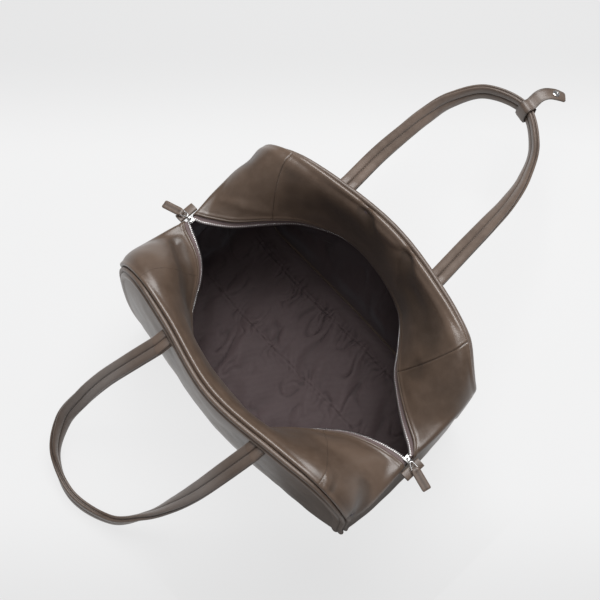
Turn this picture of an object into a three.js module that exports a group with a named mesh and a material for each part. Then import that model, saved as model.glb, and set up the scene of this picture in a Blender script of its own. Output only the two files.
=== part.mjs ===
// Boston bag, lying open on its base with both handles fallen outwards.
// Millimetres. X runs along the zip, Y from the front panel to the back panel, Z up.
// The origin is the middle of the flat underside of the base.
import * as THREE from "three";

// Outline of the piping, seen from the front
const HALF_LENGTH = 200;
const TOP_Z = 256;
const BOTTOM_Z = 14;
const TOP_RADIUS = 66;
const BOTTOM_RADIUS = 40;
const SEAM_Z = 186; // height of the end seams, where the top strips meet the lower gusset

// Depth of the piping from the middle of the bag
const HALF_DEPTH = 117; // half the depth of the base
const SIDE_BELLY = 9;
const PANEL_BULGE = 8;
const SPREAD = [
  // along: share of the half length; the others are shares of the half depth
  // front, back: depth of the top edge; frontFoot, backFoot: depth of the base edge
  { along: -1.0, front: 0.889, back: 1.043, frontFoot: 0.991, backFoot: 0.991 },
  { along: -0.5, front: 1.026, back: 1.248, frontFoot: 1, backFoot: 1 },
  { along: 0.0, front: 1.188, back: 1.325, frontFoot: 1, backFoot: 1 },
  { along: 0.5, front: 1.094, back: 1.179, frontFoot: 0.974, backFoot: 0.974 },
  { along: 1.0, front: 0.957, back: 0.897, frontFoot: 0.906, backFoot: 0.923 },
];
const BACK_DRAW = 0.045; // share by which the back right corner is drawn in

// Lower gusset
const END_BULGE = { left: 9, right: 8 };
const END_PINCH = { left: 9, right: 3 };
const END_ROUND = 2.4; // power of the bulge's curve from piping to piping
const PINCH_HIGH = 45; // height over which the zip ends pinch the gusset
const PINCH_WIDE = 0.16; // share of the gusset's width that they pinch
const BASE_FLAT = 0.8; // share of the base width that lies flat
const ZIP_SHARE = 0.455; // where the zip line crosses the gusset, from the front

// Sheets, outwards to inwards
const LEATHER = 1.8;
const TAPE = 0.7;
const LINING = 0.8;
const GAP = 0.45;
const PIPING_RADIUS = 3.0;
const TAPE_LEVEL = LEATHER / 2 + GAP + TAPE / 2;
const LINING_LEVEL = TAPE_LEVEL + TAPE / 2 + GAP + LINING / 2;
const TEETH_DEEP = 3.0;
const TEETH_WIDE = 2.4;
const TAPE_SHOWN = 8; // from the opening edge to the leather
const TAPE_SHOWN_END = 5; // the same at the zip ends
const TAPE_WIDE = 13;

// Opening edge of the zip, and the arch of the strip between it and the piping
const CROWN = 36; // greatest reach of the arch
const SIDE_STEP = 0.3; // half the space between the two opening edges where the zip is shut
const OPEN_SHARE = 0.06; // share of the strip over which the zip comes open
const BACK_STRIP = [
  // share: along the strip; x, y, z: opening edge, as shares of the half length, the half
  // depth and the height; crown: share of the greatest crown; lean: degrees inwards
  { share: 0.0, x: -1.03, y: -0.051, z: 0.742, crown: 0.556, lean: 20 },
  { share: 0.03, x: -0.985, y: -0.026, z: 0.75, crown: 0.667, lean: 22 },
  { share: 0.08, x: -0.89, y: 0.085, z: 0.742, crown: 0.889, lean: 28 },
  { share: 0.13, x: -0.78, y: 0.256, z: 0.73, crown: 1, lean: 34 },
  { share: 0.18, x: -0.645, y: 0.59, z: 0.707, crown: 0.944, lean: 42 },
  { share: 0.25, x: -0.52, y: 0.855, z: 0.68, crown: 0.833, lean: 56 },
  { share: 0.35, x: -0.29, y: 1.094, z: 0.645, crown: 0.778, lean: 70 },
  { share: 0.5, x: 0, y: 1.111, z: 0.625, crown: 0.778, lean: 74 },
  { share: 0.65, x: 0.29, y: 0.94, z: 0.641, crown: 0.778, lean: 70 },
  { share: 0.75, x: 0.46, y: 0.632, z: 0.676, crown: 0.833, lean: 56 },
  { share: 0.82, x: 0.56, y: 0.41, z: 0.703, crown: 0.944, lean: 42 },
  { share: 0.87, x: 0.7, y: 0.222, z: 0.723, crown: 0.889, lean: 36 },
  { share: 0.92, x: 0.84, y: 0.068, z: 0.738, crown: 0.722, lean: 30 },
  { share: 0.97, x: 0.98, y: -0.051, z: 0.758, crown: 0.556, lean: 22 },
  { share: 1.0, x: 1.04, y: -0.068, z: 0.75, crown: 0.556, lean: 20 },
];
const FRONT_STRIP = [
  { share: 0.0, x: -1.03, y: -0.051, z: 0.742, crown: 0.556, lean: 20 },
  { share: 0.03, x: -0.985, y: -0.068, z: 0.75, crown: 0.667, lean: 22 },
  { share: 0.08, x: -0.87, y: -0.128, z: 0.742, crown: 0.889, lean: 28 },
  { share: 0.13, x: -0.755, y: -0.222, z: 0.73, crown: 1, lean: 34 },
  { share: 0.18, x: -0.665, y: -0.359, z: 0.711, crown: 0.944, lean: 42 },
  { share: 0.25, x: -0.53, y: -0.684, z: 0.684, crown: 0.833, lean: 56 },
  { share: 0.35, x: -0.33, y: -0.932, z: 0.648, crown: 0.778, lean: 70 },
  { share: 0.5, x: -0.02, y: -0.966, z: 0.625, crown: 0.778, lean: 74 },
  { share: 0.65, x: 0.24, y: -0.949, z: 0.637, crown: 0.778, lean: 70 },
  { share: 0.75, x: 0.39, y: -0.701, z: 0.672, crown: 0.833, lean: 56 },
  { share: 0.82, x: 0.515, y: -0.496, z: 0.695, crown: 0.944, lean: 42 },
  { share: 0.87, x: 0.64, y: -0.316, z: 0.715, crown: 1, lean: 34 },
  { share: 0.92, x: 0.8, y: -0.179, z: 0.734, crown: 0.889, lean: 28 },
  { share: 0.97, x: 0.97, y: -0.103, z: 0.758, crown: 0.722, lean: 22 },
  { share: 1.0, x: 1.04, y: -0.068, z: 0.75, crown: 0.556, lean: 20 },
];
const CROSS_SEAM = 0.18; // share of the strip in each end piece
const SLIDER_SHARE = 0.026;
const ZIP_START = 0.042; // first tooth, past the slider

// Handles: a padded strap of two layers
const STRAP_WIDE = 22;
const STRAP_THICK = 9;
const STRAP_NOTCH = 0.8; // between the two layers, round the edges
const STRAP_DENT = 0.7; // along the middle of each face
const FRONT_REACH = 338; // from the bag's middle to the far end of the loop
const BACK_REACH = 457;
const FRONT_HANDLE = [
  // share: along the strap; x, y, z: centre line, as shares of the half length, the
  // handle's reach and the height; turn: degrees from flat to on edge
  { share: 0.0, x: -0.42, y: 0.417, z: 0.949, turn: 0 },
  { share: 0.083, x: -0.52, y: 0.536, z: 0.789, turn: 4 },
  { share: 0.167, x: -0.62, y: 0.63, z: 0.602, turn: 12 },
  { share: 0.25, x: -0.7, y: 0.725, z: 0.406, turn: 30 },
  { share: 0.333, x: -0.745, y: 0.837, z: 0.219, turn: 58 },
  { share: 0.417, x: -0.64, y: 0.953, z: 0.082, turn: 88 },
  { share: 0.5, x: -0.37, y: 1, z: 0.051, turn: 106 },
  { share: 0.583, x: -0.075, y: 0.944, z: 0.078, turn: 98 },
  { share: 0.667, x: 0.09, y: 0.831, z: 0.211, turn: 72 },
  { share: 0.75, x: 0.195, y: 0.731, z: 0.391, turn: 38 },
  { share: 0.833, x: 0.275, y: 0.639, z: 0.582, turn: 14 },
  { share: 0.917, x: 0.34, y: 0.544, z: 0.781, turn: 4 },
  { share: 1.0, x: 0.4, y: 0.42, z: 0.949, turn: 0 },
];
const BACK_HANDLE = [
  { share: 0.0, x: -0.43, y: 0.346, z: 0.949, turn: 0 },
  { share: 0.083, x: -0.485, y: 0.479, z: 0.875, turn: 6 },
  { share: 0.167, x: -0.53, y: 0.597, z: 0.777, turn: 18 },
  { share: 0.25, x: -0.57, y: 0.716, z: 0.676, turn: 38 },
  { share: 0.333, x: -0.58, y: 0.836, z: 0.582, turn: 62 },
  { share: 0.417, x: -0.48, y: 0.954, z: 0.527, turn: 80 },
  { share: 0.5, x: -0.215, y: 1, z: 0.516, turn: 88 },
  { share: 0.583, x: 0.025, y: 0.928, z: 0.523, turn: 80 },
  { share: 0.667, x: 0.16, y: 0.814, z: 0.578, turn: 62 },
  { share: 0.75, x: 0.235, y: 0.696, z: 0.668, turn: 38 },
  { share: 0.833, x: 0.28, y: 0.578, z: 0.77, turn: 18 },
  { share: 0.917, x: 0.32, y: 0.46, z: 0.871, turn: 6 },
  { share: 1.0, x: 0.36, y: 0.328, z: 0.949, turn: 0 },
];

// Keeper: a snap strap that wraps the back handle
const KEEPER_SHARE = 0.505;
const KEEPER_WIDE = 18;
const KEEPER_THICK = 2.2;
const KEEPER_CLEAR = 2.0; // between the wrap and the handle
const KEEPER_TIP = 0.556; // share of its width at the tip
const TAIL_LONG = 50;
const KEEPER_TAIL = [
  // shares of the tail's length; out: away from the handle; side: along it; up: above its middle
  { out: 1, side: 0.3, up: 0.3 },
  { out: 0.78, side: 0.12, up: 0.38 },
  { out: 0.56, side: 0, up: 0.42 },
  { out: 0.36, side: -0.04, up: 0.4 },
  { out: 0.18, side: -0.02, up: 0.32 },
];
const SNAP_RADIUS = 5;

// Zip ends
const TAB_LONG = 26;
const TAB_WIDE = 12;
const TAB_HIGH = 5.2;
const TAB_WALL = 1.3;
const SLIDER_LONG = 9;
const SLIDER_WIDE = 8.4;
const SLIDER_HIGH = 4.2;
const BAIL_LONG = 9;
const BAIL_WIRE = 0.8;
const PULL_LONG = 26;
const PULL_WIDE = 11;
const PULL_THICK = 3;
const BAIL_HALF = 2; // half the width of the wire at the slider
const PULL_HALF = 0.36; // share of the pull's width at which the wire passes
const TAB_PAST = { left: 0.84, right: 0.77 }; // share of the tab's width past the end seam
const TAB_FORWARD = 3; // how far the tab sits towards the front

const V = (x, y, z) => new THREE.Vector3(x, y, z);
const mix = (a, b, t) => a + (b - a) * t;
const mixV = (a, b, t) => a.clone().lerp(b, t);
const clamp = (t) => Math.min(1, Math.max(0, t));
const smooth = (t) => clamp(t) * clamp(t) * (3 - 2 * clamp(t));
const rad = THREE.MathUtils.degToRad;

const skin = (name, color, roughness, metalness = 0) =>
  new THREE.MeshStandardMaterial({ name, color, roughness, metalness });
const leather = () => skin("leather", 0x65564b, 0.5);
const lining = () => skin("lining", 0x3e3436, 0.85);
const tapeCloth = () => skin("zip_tape", 0x6b5c5c, 0.8);
const silver = () => skin("polished_metal", 0xc9c9cc, 0.25, 1);

// A smooth value between the rows of a table
function row(table, key, column, t) {
  let i = 0;
  while (i < table.length - 2 && t > table[i + 1][key]) i += 1;
  const a = table[i];
  const b = table[i + 1];
  const before = table[i - 1] ?? a;
  const after = table[i + 2] ?? b;
  const step = b[key] - a[key];
  const k = clamp((t - a[key]) / step);
  const slope = (p, q) => {
    const gap = q[key] - p[key];
    return gap === 0 ? 0 : ((q[column] - p[column]) / gap) * step;
  };
  const m0 = slope(before, b);
  const m1 = slope(a, after);
  const k2 = k * k;
  const k3 = k2 * k;
  return (
    (2 * k3 - 3 * k2 + 1) * a[column] +
    (k3 - 2 * k2 + k) * m0 +
    (3 * k2 - 2 * k3) * b[column] +
    (k3 - k2) * m1
  );
}

// Pieces of the outline, clockwise from the left end seam as seen from the front
const RUN = (() => {
  const side = TOP_Z - TOP_RADIUS - SEAM_Z;
  const low = SEAM_Z - BOTTOM_Z - BOTTOM_RADIUS;
  const quarterTop = (TOP_RADIUS * Math.PI) / 2;
  const quarterLow = (BOTTOM_RADIUS * Math.PI) / 2;
  const flatTop = 2 * (HALF_LENGTH - TOP_RADIUS);
  const flatLow = 2 * (HALF_LENGTH - BOTTOM_RADIUS);
  return { side, low, quarterTop, quarterLow, flatTop, flatLow };
})();
const TOP_RUN = 2 * (RUN.side + RUN.quarterTop) + RUN.flatTop;
const LOW_RUN = 2 * (RUN.low + RUN.quarterLow) + RUN.flatLow;

function cornerPoint(cx, cz, radius, from, length) {
  const a = from - length / radius;
  const nx = Math.cos(a);
  const nz = Math.sin(a);
  return { x: cx + radius * nx, z: cz + radius * nz, nx, nz };
}

// Point of the outline at a length along it, with its outward direction
function outline(length) {
  const total = TOP_RUN + LOW_RUN;
  let s = ((length % total) + total) % total;
  const cx = HALF_LENGTH - TOP_RADIUS;
  const lx = HALF_LENGTH - BOTTOM_RADIUS;
  if (s < RUN.side) return { x: -HALF_LENGTH, z: SEAM_Z + s, nx: -1, nz: 0 };
  s -= RUN.side;
  if (s < RUN.quarterTop) return cornerPoint(-cx, TOP_Z - TOP_RADIUS, TOP_RADIUS, Math.PI, s);
  s -= RUN.quarterTop;
  if (s < RUN.flatTop) return { x: s - cx, z: TOP_Z, nx: 0, nz: 1 };
  s -= RUN.flatTop;
  if (s < RUN.quarterTop) return cornerPoint(cx, TOP_Z - TOP_RADIUS, TOP_RADIUS, Math.PI / 2, s);
  s -= RUN.quarterTop;
  const fall = RUN.side + RUN.low;
  if (s < fall) return { x: HALF_LENGTH, z: TOP_Z - TOP_RADIUS - s, nx: 1, nz: 0 };
  s -= fall;
  if (s < RUN.quarterLow) return cornerPoint(lx, BOTTOM_Z + BOTTOM_RADIUS, BOTTOM_RADIUS, 0, s);
  s -= RUN.quarterLow;
  if (s < RUN.flatLow) return { x: lx - s, z: BOTTOM_Z, nx: 0, nz: -1 };
  s -= RUN.flatLow;
  if (s < RUN.quarterLow) return cornerPoint(-lx, BOTTOM_Z + BOTTOM_RADIUS, BOTTOM_RADIUS, -Math.PI / 2, s);
  s -= RUN.quarterLow;
  return { x: -HALF_LENGTH, z: BOTTOM_Z + BOTTOM_RADIUS + s, nx: -1, nz: 0 };
}

// Depth of the panel plane at a place; side is -1 for the front and 1 for the back
function depth(side, x, z) {
  const rise = clamp((z - BOTTOM_Z) / (TOP_Z - BOTTOM_Z));
  const name = side < 0 ? "front" : "back";
  const top = HALF_DEPTH * row(SPREAD, "along", name, x / HALF_LENGTH);
  const foot = HALF_DEPTH * row(SPREAD, "along", `${name}Foot`, x / HALF_LENGTH);
  return side * (mix(foot, top, rise) + SIDE_BELLY * Math.sin(Math.PI * rise));
}

// The back right corner sits a little nearer the middle than the other three
function drawn(side, x) {
  const share = side > 0 ? BACK_DRAW * smooth((x / HALF_LENGTH - 0.4) / 0.6) : 0;
  return x * (1 - share);
}

function pipingPoint(side, length) {
  const o = outline(length);
  return V(drawn(side, o.x), depth(side, o.x, o.z), o.z);
}

// Closed gusset between the two pipings: share 0 at the front piping, 1 at the back piping
function band(length, share) {
  const o = outline(length);
  const c = Math.abs(2 * share - 1);
  const end = o.nx < 0 ? "left" : "right";
  const low = Math.pow(clamp(-o.nz), 1.5);
  const near = Math.exp(-Math.pow((o.z - SEAM_Z) / PINCH_HIGH, 2));
  const pinch = END_PINCH[end] * near * Math.exp(-Math.pow((share - ZIP_SHARE) / PINCH_WIDE, 2));
  const round = END_BULGE[end] * (1 - Math.pow(c, END_ROUND)) - pinch * (1 - c);
  const past = Math.max(0, (c - BASE_FLAT) / (1 - BASE_FLAT));
  const flat = (BOTTOM_Z - LEATHER / 2) * (1 - past * past);
  const out = mix(round, flat, low);
  const p = mixV(pipingPoint(-1, length), pipingPoint(1, length), share);
  return p.add(V(o.nx, 0, o.nz).multiplyScalar(out));
}

// Point of a cubic curve
function arc(a, b, c, d, t) {
  const k = 1 - t;
  return V(0, 0, 0)
    .addScaledVector(a, k * k * k)
    .addScaledVector(b, 3 * k * k * t)
    .addScaledVector(c, 3 * k * t * t)
    .addScaledVector(d, t * t * t);
}

// Top strip: share along it from the left end seam, w from the piping to the opening edge
function strip(side, share, w) {
  const table = side < 0 ? FRONT_STRIP : BACK_STRIP;
  const length = share * TOP_RUN;
  const o = outline(length);
  const a = pipingPoint(side, length);
  const at = (column) => row(table, "share", column, share);
  const edge = V(at("x") * HALF_LENGTH, at("y") * HALF_DEPTH + side * SIDE_STEP, at("z") * TOP_Z);
  const crown = at("crown") * CROWN;
  const lean = rad(at("lean"));
  const rise = V(o.nx * Math.cos(lean), -side * Math.sin(lean), o.nz * Math.cos(lean));
  const first = a.clone().addScaledVector(rise, crown);
  const second = mixV(edge, a, 0.3).addScaledVector(rise, crown * 0.35);
  const open = arc(a, first, second, edge, w);
  const q = side < 0 ? w * ZIP_SHARE : 1 - w * (1 - ZIP_SHARE);
  const shut = band(length, q).add(V(0, side * SIDE_STEP * w, 0));
  const away = Math.min(share, 1 - share);
  return mixV(shut, open, smooth(away / OPEN_SHARE));
}

// Outward direction of a surface by small steps
function facing(surface, u, w, sign) {
  const e = 0.004;
  const du = surface(u + e, w).sub(surface(u - e, w));
  const dw = surface(u, w + e).sub(surface(u, w - e));
  return du.cross(dw).normalize().multiplyScalar(sign);
}

function stripFacing(side, share, w) {
  const u = Math.min(0.99, Math.max(0.01, share));
  const k = Math.min(0.98, Math.max(0.02, w));
  return facing((a, b) => strip(side, a, b), u, k, -side);
}

function bandFacing(length, share) {
  const k = Math.min(0.98, Math.max(0.02, share));
  const surface = (u, w) => band(length + (u - 0.5) * 400, w);
  return facing(surface, 0.5, k, 1);
}

// Closed body from an outer and an inner grid of points
function sheetBody(outer, inner) {
  const rows = outer.length;
  const cols = outer[0].length;
  const positions = [];
  const index = [];
  for (const p of [outer, inner].flat(2)) positions.push(p.x, p.y, p.z);
  const at = (layer, i, j) => layer * rows * cols + i * cols + j;
  const quad = (a, b, c, d) => index.push(a, b, c, a, c, d);
  for (let i = 0; i < rows - 1; i += 1) {
    for (let j = 0; j < cols - 1; j += 1) {
      quad(at(0, i, j), at(0, i + 1, j), at(0, i + 1, j + 1), at(0, i, j + 1));
      quad(at(1, i, j), at(1, i, j + 1), at(1, i + 1, j + 1), at(1, i + 1, j));
    }
  }
  for (let i = 0; i < rows - 1; i += 1) {
    quad(at(0, i, 0), at(1, i, 0), at(1, i + 1, 0), at(0, i + 1, 0));
    const j = cols - 1;
    quad(at(0, i + 1, j), at(1, i + 1, j), at(1, i, j), at(0, i, j));
  }
  for (let j = 0; j < cols - 1; j += 1) {
    quad(at(0, 0, j + 1), at(1, 0, j + 1), at(1, 0, j), at(0, 0, j));
    const i = rows - 1;
    quad(at(0, i, j), at(1, i, j), at(1, i, j + 1), at(0, i, j + 1));
  }
  return closedGeometry(positions, index);
}

// Geometry with its faces turned outwards
function closedGeometry(positions, index) {
  let volume = 0;
  const p = (i) => V(positions[3 * i], positions[3 * i + 1], positions[3 * i + 2]);
  for (let i = 0; i < index.length; i += 3) {
    volume += p(index[i]).dot(p(index[i + 1]).cross(p(index[i + 2])));
  }
  if (volume < 0) {
    for (let i = 0; i < index.length; i += 3) {
      [index[i + 1], index[i + 2]] = [index[i + 2], index[i + 1]];
    }
  }
  const g = new THREE.BufferGeometry();
  g.setAttribute("position", new THREE.Float32BufferAttribute(positions, 3));
  g.setIndex(index);
  g.computeVertexNormals();
  return g;
}

// Body swept through rings of points; caps close the ends unless the rings form a loop
function sweepBody(rings, loop = false) {
  const positions = [];
  const index = [];
  const n = rings[0].length;
  for (const p of rings.flat()) positions.push(p.x, p.y, p.z);
  const last = loop ? rings.length : rings.length - 1;
  for (let i = 0; i < last; i += 1) {
    const a = i * n;
    const b = ((i + 1) % rings.length) * n;
    for (let j = 0; j < n; j += 1) {
      const k = (j + 1) % n;
      index.push(a + j, b + j, b + k, a + j, b + k, a + k);
    }
  }
  if (!loop) {
    for (const [start, flip] of [[0, true], [(rings.length - 1) * n, false]]) {
      const middle = positions.length / 3;
      const c = V(0, 0, 0);
      for (const p of rings[start / n]) c.add(p);
      c.divideScalar(n);
      positions.push(c.x, c.y, c.z);
      for (let j = 0; j < n; j += 1) {
        const k = (j + 1) % n;
        if (flip) index.push(middle, start + j, start + k);
        else index.push(middle, start + k, start + j);
      }
    }
  }
  return closedGeometry(positions, index);
}

const spaced = (from, to, count) => Array.from({ length: count + 1 }, (_, i) => mix(from, to, i / count));

function named(name, geometry, material) {
  const mesh = new THREE.Mesh(geometry, material);
  mesh.name = name;
  return mesh;
}

// Shares along the top, and lengths along the ends and base, where the sheets have their points
const END_SHARES = [0, 0.02, ZIP_START, 0.07, 0.105, 0.14, CROSS_SEAM];
const TOP_SHARES = [
  ...END_SHARES,
  ...spaced(CROSS_SEAM, 1 - CROSS_SEAM, 10).slice(1, -1),
  ...END_SHARES.map((u) => 1 - u).reverse(),
];
const LOW_STATIONS = (() => {
  const side = spaced(0, RUN.low, 3);
  const corner = spaced(RUN.low, RUN.low + RUN.quarterLow, 4).slice(1);
  const half = [...side, ...corner].map((s) => s + TOP_RUN);
  const base = spaced(half[half.length - 1], half[half.length - 1] + RUN.flatLow, 6).slice(1, -1);
  const mirrored = half.map((s) => 2 * TOP_RUN + LOW_RUN - s).reverse();
  return [...half, ...base, ...mirrored];
})();
const OUTLINE_STATIONS = [...TOP_SHARES.map((u) => u * TOP_RUN), ...LOW_STATIONS.slice(1, -1)];

const PANEL_MIDDLE = mix(BOTTOM_Z, TOP_Z, 0.5);
const panelBulge = (rho) => PANEL_BULGE * (1 - rho * rho);

// Front or back panel, or the lining behind it
function panel(side, level, thick, shrink) {
  const rings = [0.4, 0.78, 1];
  const surface = (rho, length, offset) => {
    const o = outline(length);
    const x = (o.x - o.nx * shrink) * rho;
    const z = mix(PANEL_MIDDLE, o.z - o.nz * shrink, rho);
    const y = depth(side, x, z) + side * (panelBulge(rho) - offset);
    return V(drawn(side, x), y, z);
  };
  const positions = [];
  const index = [];
  const n = OUTLINE_STATIONS.length;
  const push = (p) => positions.push(p.x, p.y, p.z) / 3 - 1;
  const layers = [level - thick / 2, level + thick / 2].map((offset) => ({
    centre: push(surface(0, 0, offset)),
    start: rings.flatMap((rho) => OUTLINE_STATIONS.map((s) => push(surface(rho, s, offset))))[0],
  }));
  layers.forEach(({ centre, start }, layer) => {
    const tri = (a, b, c) => (layer ? index.push(a, c, b) : index.push(a, b, c));
    for (let j = 0; j < n; j += 1) {
      const k = (j + 1) % n;
      tri(centre, start + j, start + k);
      for (let r = 0; r < rings.length - 1; r += 1) {
        const a = start + r * n;
        const b = a + n;
        tri(a + j, b + j, b + k);
        tri(a + j, b + k, a + k);
      }
    }
  });
  const rim = (rings.length - 1) * n;
  for (let j = 0; j < n; j += 1) {
    const k = (j + 1) % n;
    const [a, b] = layers.map((l) => l.start + rim);
    index.push(a + j, b + j, b + k, a + j, b + k, a + k);
  }
  return closedGeometry(positions, index);
}

// Round cord in the seam between a panel and the gusset
function piping(side) {
  const rings = OUTLINE_STATIONS.map((s) => {
    const c = pipingPoint(side, s);
    const o = outline(s);
    return spaced(0, 2 * Math.PI, 6).slice(0, -1).map((a) => {
      const away = V(o.nx * Math.cos(a), Math.sin(a), o.nz * Math.cos(a));
      return c.clone().addScaledVector(away, PIPING_RADIUS);
    });
  });
  return sweepBody(rings, true);
}

const SEAM_GAP = 0.5;
const EDGE_START = PIPING_RADIUS + 0.5;
const LINING_START = EDGE_START - 1.3;
const LINING_EDGE = EDGE_START + 0.2;
const SEAT_GAP = 0.35; // between a strap end and the panel it is sewn to

// Ends and base in one piece, or the lining inside it
function lowerGusset(level, thick, start) {
  const crossing = [0, 0.045, 0.1, 0.27, 0.45, 0.63, 0.9, 0.955, 1];
  const inner = LOW_STATIONS.slice(1, -1);
  const lengths = [TOP_RUN + SEAM_GAP, ...inner, TOP_RUN + LOW_RUN - SEAM_GAP];
  const grid = (offset) =>
    lengths.map((s) => {
      const wide = pipingPoint(1, s).distanceTo(pipingPoint(-1, s));
      const inset = start / wide;
      return crossing.map((c) => {
        const share = mix(inset, 1 - inset, c);
        return band(s, share).sub(bandFacing(s, share).multiplyScalar(offset));
      });
    });
  return sheetBody(grid(level - thick / 2), grid(level + thick / 2));
}

function shownTape(share) {
  const away = Math.min(share, 1 - share);
  return mix(TAPE_SHOWN_END, TAPE_SHOWN, smooth(away / OPEN_SHARE));
}

// Places across the strip, counted from the piping and then from the opening edge
function across(side, share, from, to) {
  const e = 0.02;
  const first = strip(side, share, 0).distanceTo(strip(side, share, e)) / e;
  const last = strip(side, share, 1).distanceTo(strip(side, share, 1 - e)) / e;
  const near = [EDGE_START / first, 0.1, 0.2, 0.33, 0.48, 0.64, 0.78];
  const back = [TAPE_WIDE, shownTape(share), TEETH_WIDE + 0.5, TEETH_WIDE + 0.15, 0.15];
  const far = back.map((d) => 1 - d / last);
  return [...near, ...far].slice(from, to + 1);
}

// Part of a top strip between two shares, at a level below the leather's middle
function stripSheet(side, stations, level, thick, from, to) {
  const at = (u, w, offset) => strip(side, u, w).addScaledVector(stripFacing(side, u, w), -offset);
  const grid = (offset) =>
    stations.map((u) => across(side, u, from, to).map((w) => at(u, w, offset)));
  return sheetBody(grid(level - thick / 2), grid(level + thick / 2));
}

const seamShare = SEAM_GAP / TOP_RUN;
const cut = (from, to) => {
  const inner = TOP_SHARES.filter((u) => u > from + 0.001 && u < to - 0.001);
  return [from + seamShare, ...inner, to - seamShare];
};
const LEFT_SHARES = cut(0, CROSS_SEAM);
const MIDDLE_SHARES = cut(CROSS_SEAM, 1 - CROSS_SEAM);
const RIGHT_SHARES = cut(1 - CROSS_SEAM, 1);
const WHOLE_SHARES = cut(0, 1);
const ZIP_SHARES = TOP_SHARES.filter((u) => u > ZIP_START - 0.001 && u < 1 - ZIP_START + 0.001);

function topStrip(side, shares) {
  return stripSheet(side, shares, 0, LEATHER, 0, 8);
}

function liningStrip(side) {
  return stripSheet(side, WHOLE_SHARES, LINING_LEVEL, LINING, 0, 7);
}

function zipTape(side) {
  return stripSheet(side, ZIP_SHARES, TAPE_LEVEL, TAPE, 7, 9);
}

function zipTeeth(side) {
  return stripSheet(side, ZIP_SHARES, TAPE_LEVEL, TEETH_DEEP, 10, 11);
}

// Strap section: two padded layers with a notch round the edges between them
function strapSection() {
  const w = STRAP_WIDE / 2;
  const t = STRAP_THICK / 2;
  const quarter = [
    [w - STRAP_NOTCH, 0],
    [w, t * 0.45],
    [w * 0.8, t],
  ];
  const [a, b, c] = quarter;
  const dent = [0, t - STRAP_DENT];
  const upper = [a, b, c, dent, [-c[0], c[1]], [-b[0], b[1]]];
  return [...upper, ...upper.map(([x, y]) => [-x, -y])];
}

// Centre line of a handle with its flat and edge directions
function strapFrame(side, share) {
  const table = side < 0 ? FRONT_HANDLE : BACK_HANDLE;
  const reach = side < 0 ? FRONT_REACH : BACK_REACH;
  const read = (column, s) => row(table, "share", column, s);
  const at = (s) => V(read("x", s) * HALF_LENGTH, side * read("y", s) * reach, read("z", s) * TOP_Z);
  const p = at(share);
  const e = 0.004;
  const along = at(Math.min(1, share + e)).sub(at(Math.max(0, share - e))).normalize();
  const down = V(0, 0, -1).addScaledVector(along, along.z).normalize();
  const outwards = down.clone().cross(along).multiplyScalar(-side).normalize();
  const turn = rad(read("turn", share));
  const face = down.multiplyScalar(Math.cos(turn)).addScaledVector(outwards, Math.sin(turn)).normalize();
  const wide = along.clone().cross(face).normalize();
  return { p, along, face, wide };
}

function handle(side) {
  const section = strapSection();
  const shares = spaced(0, 1, 28);
  const rings = shares.map((s) => {
    const f = strapFrame(side, s);
    return section.map(([a, b]) => {
      const p = f.p.clone().addScaledVector(f.wide, a);
      return p.addScaledVector(f.face, b);
    });
  });
  const seat = (ring) => {
    for (const p of ring) {
      const rho = (p.z - PANEL_MIDDLE) / (TOP_Z - EDGE_START - PANEL_MIDDLE);
      p.y = depth(side, p.x, p.z) + side * (panelBulge(rho) + LEATHER / 2 + SEAT_GAP);
    }
  };
  seat(rings[0]);
  seat(rings[rings.length - 1]);
  return sweepBody(rings);
}

// Frame of the back handle where the keeper wraps it
function keeperFrame() {
  const f = strapFrame(1, KEEPER_SHARE);
  const up = f.wide.z > 0 ? f.wide : f.wide.clone().negate();
  const out = f.face.y > 0 ? f.face : f.face.clone().negate();
  return { p: f.p, along: f.along, up, out };
}

// Place in a keeper frame, from a row of distances
function keeperPoint(f, k) {
  const p = f.p.clone().addScaledVector(f.out, k.out);
  return p.addScaledVector(f.along, k.side).addScaledVector(f.up, k.up);
}

const keeperTail = () =>
  KEEPER_TAIL.map((k) => ({ out: k.out * TAIL_LONG, side: k.side * TAIL_LONG, up: k.up * TAIL_LONG }));

// Directions across and off the face of a strap that runs one way and wraps another
function strapTurn(run, along) {
  const across = along.clone().addScaledVector(run, -along.dot(run)).normalize();
  return { across, face: run.clone().cross(across).normalize() };
}

// Keeper strap: tail, then once round the handle
function keeper() {
  const f = keeperFrame();
  const reach = KEEPER_CLEAR + KEEPER_THICK / 2;
  const t = STRAP_THICK / 2 + reach + 0.6;
  const w = STRAP_WIDE / 2 + reach + 0.3;
  const path = [
    ...keeperTail(),
    { out: t * 0.55, side: 0, up: w },
    { out: -t * 0.55, side: 0, up: w },
    { out: -t, side: 0, up: w * 0.72 },
    { out: -t, side: 0, up: -w * 0.72 },
    { out: -t * 0.55, side: 0, up: -w },
    { out: t * 0.55, side: 0, up: -w },
    { out: t, side: 0, up: -w * 0.72 },
    { out: t, side: 0, up: w * 0.55 },
  ];
  const points = path.map((k) => keeperPoint(f, k));
  const rings = points.map((p, i) => {
    const before = points[Math.max(0, i - 1)];
    const after = points[Math.min(points.length - 1, i + 1)];
    const { across, face } = strapTurn(after.clone().sub(before).normalize(), f.along);
    const half = (KEEPER_WIDE / 2) * (i === 0 ? KEEPER_TIP : 1);
    const corners = [[half, 1], [half, -1], [-half, -1], [-half, 1]];
    return corners.map(([a, b]) => {
      const corner = p.clone().addScaledVector(across, a);
      return corner.addScaledVector(face, (b * KEEPER_THICK) / 2);
    });
  });
  return sweepBody(rings);
}

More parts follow.
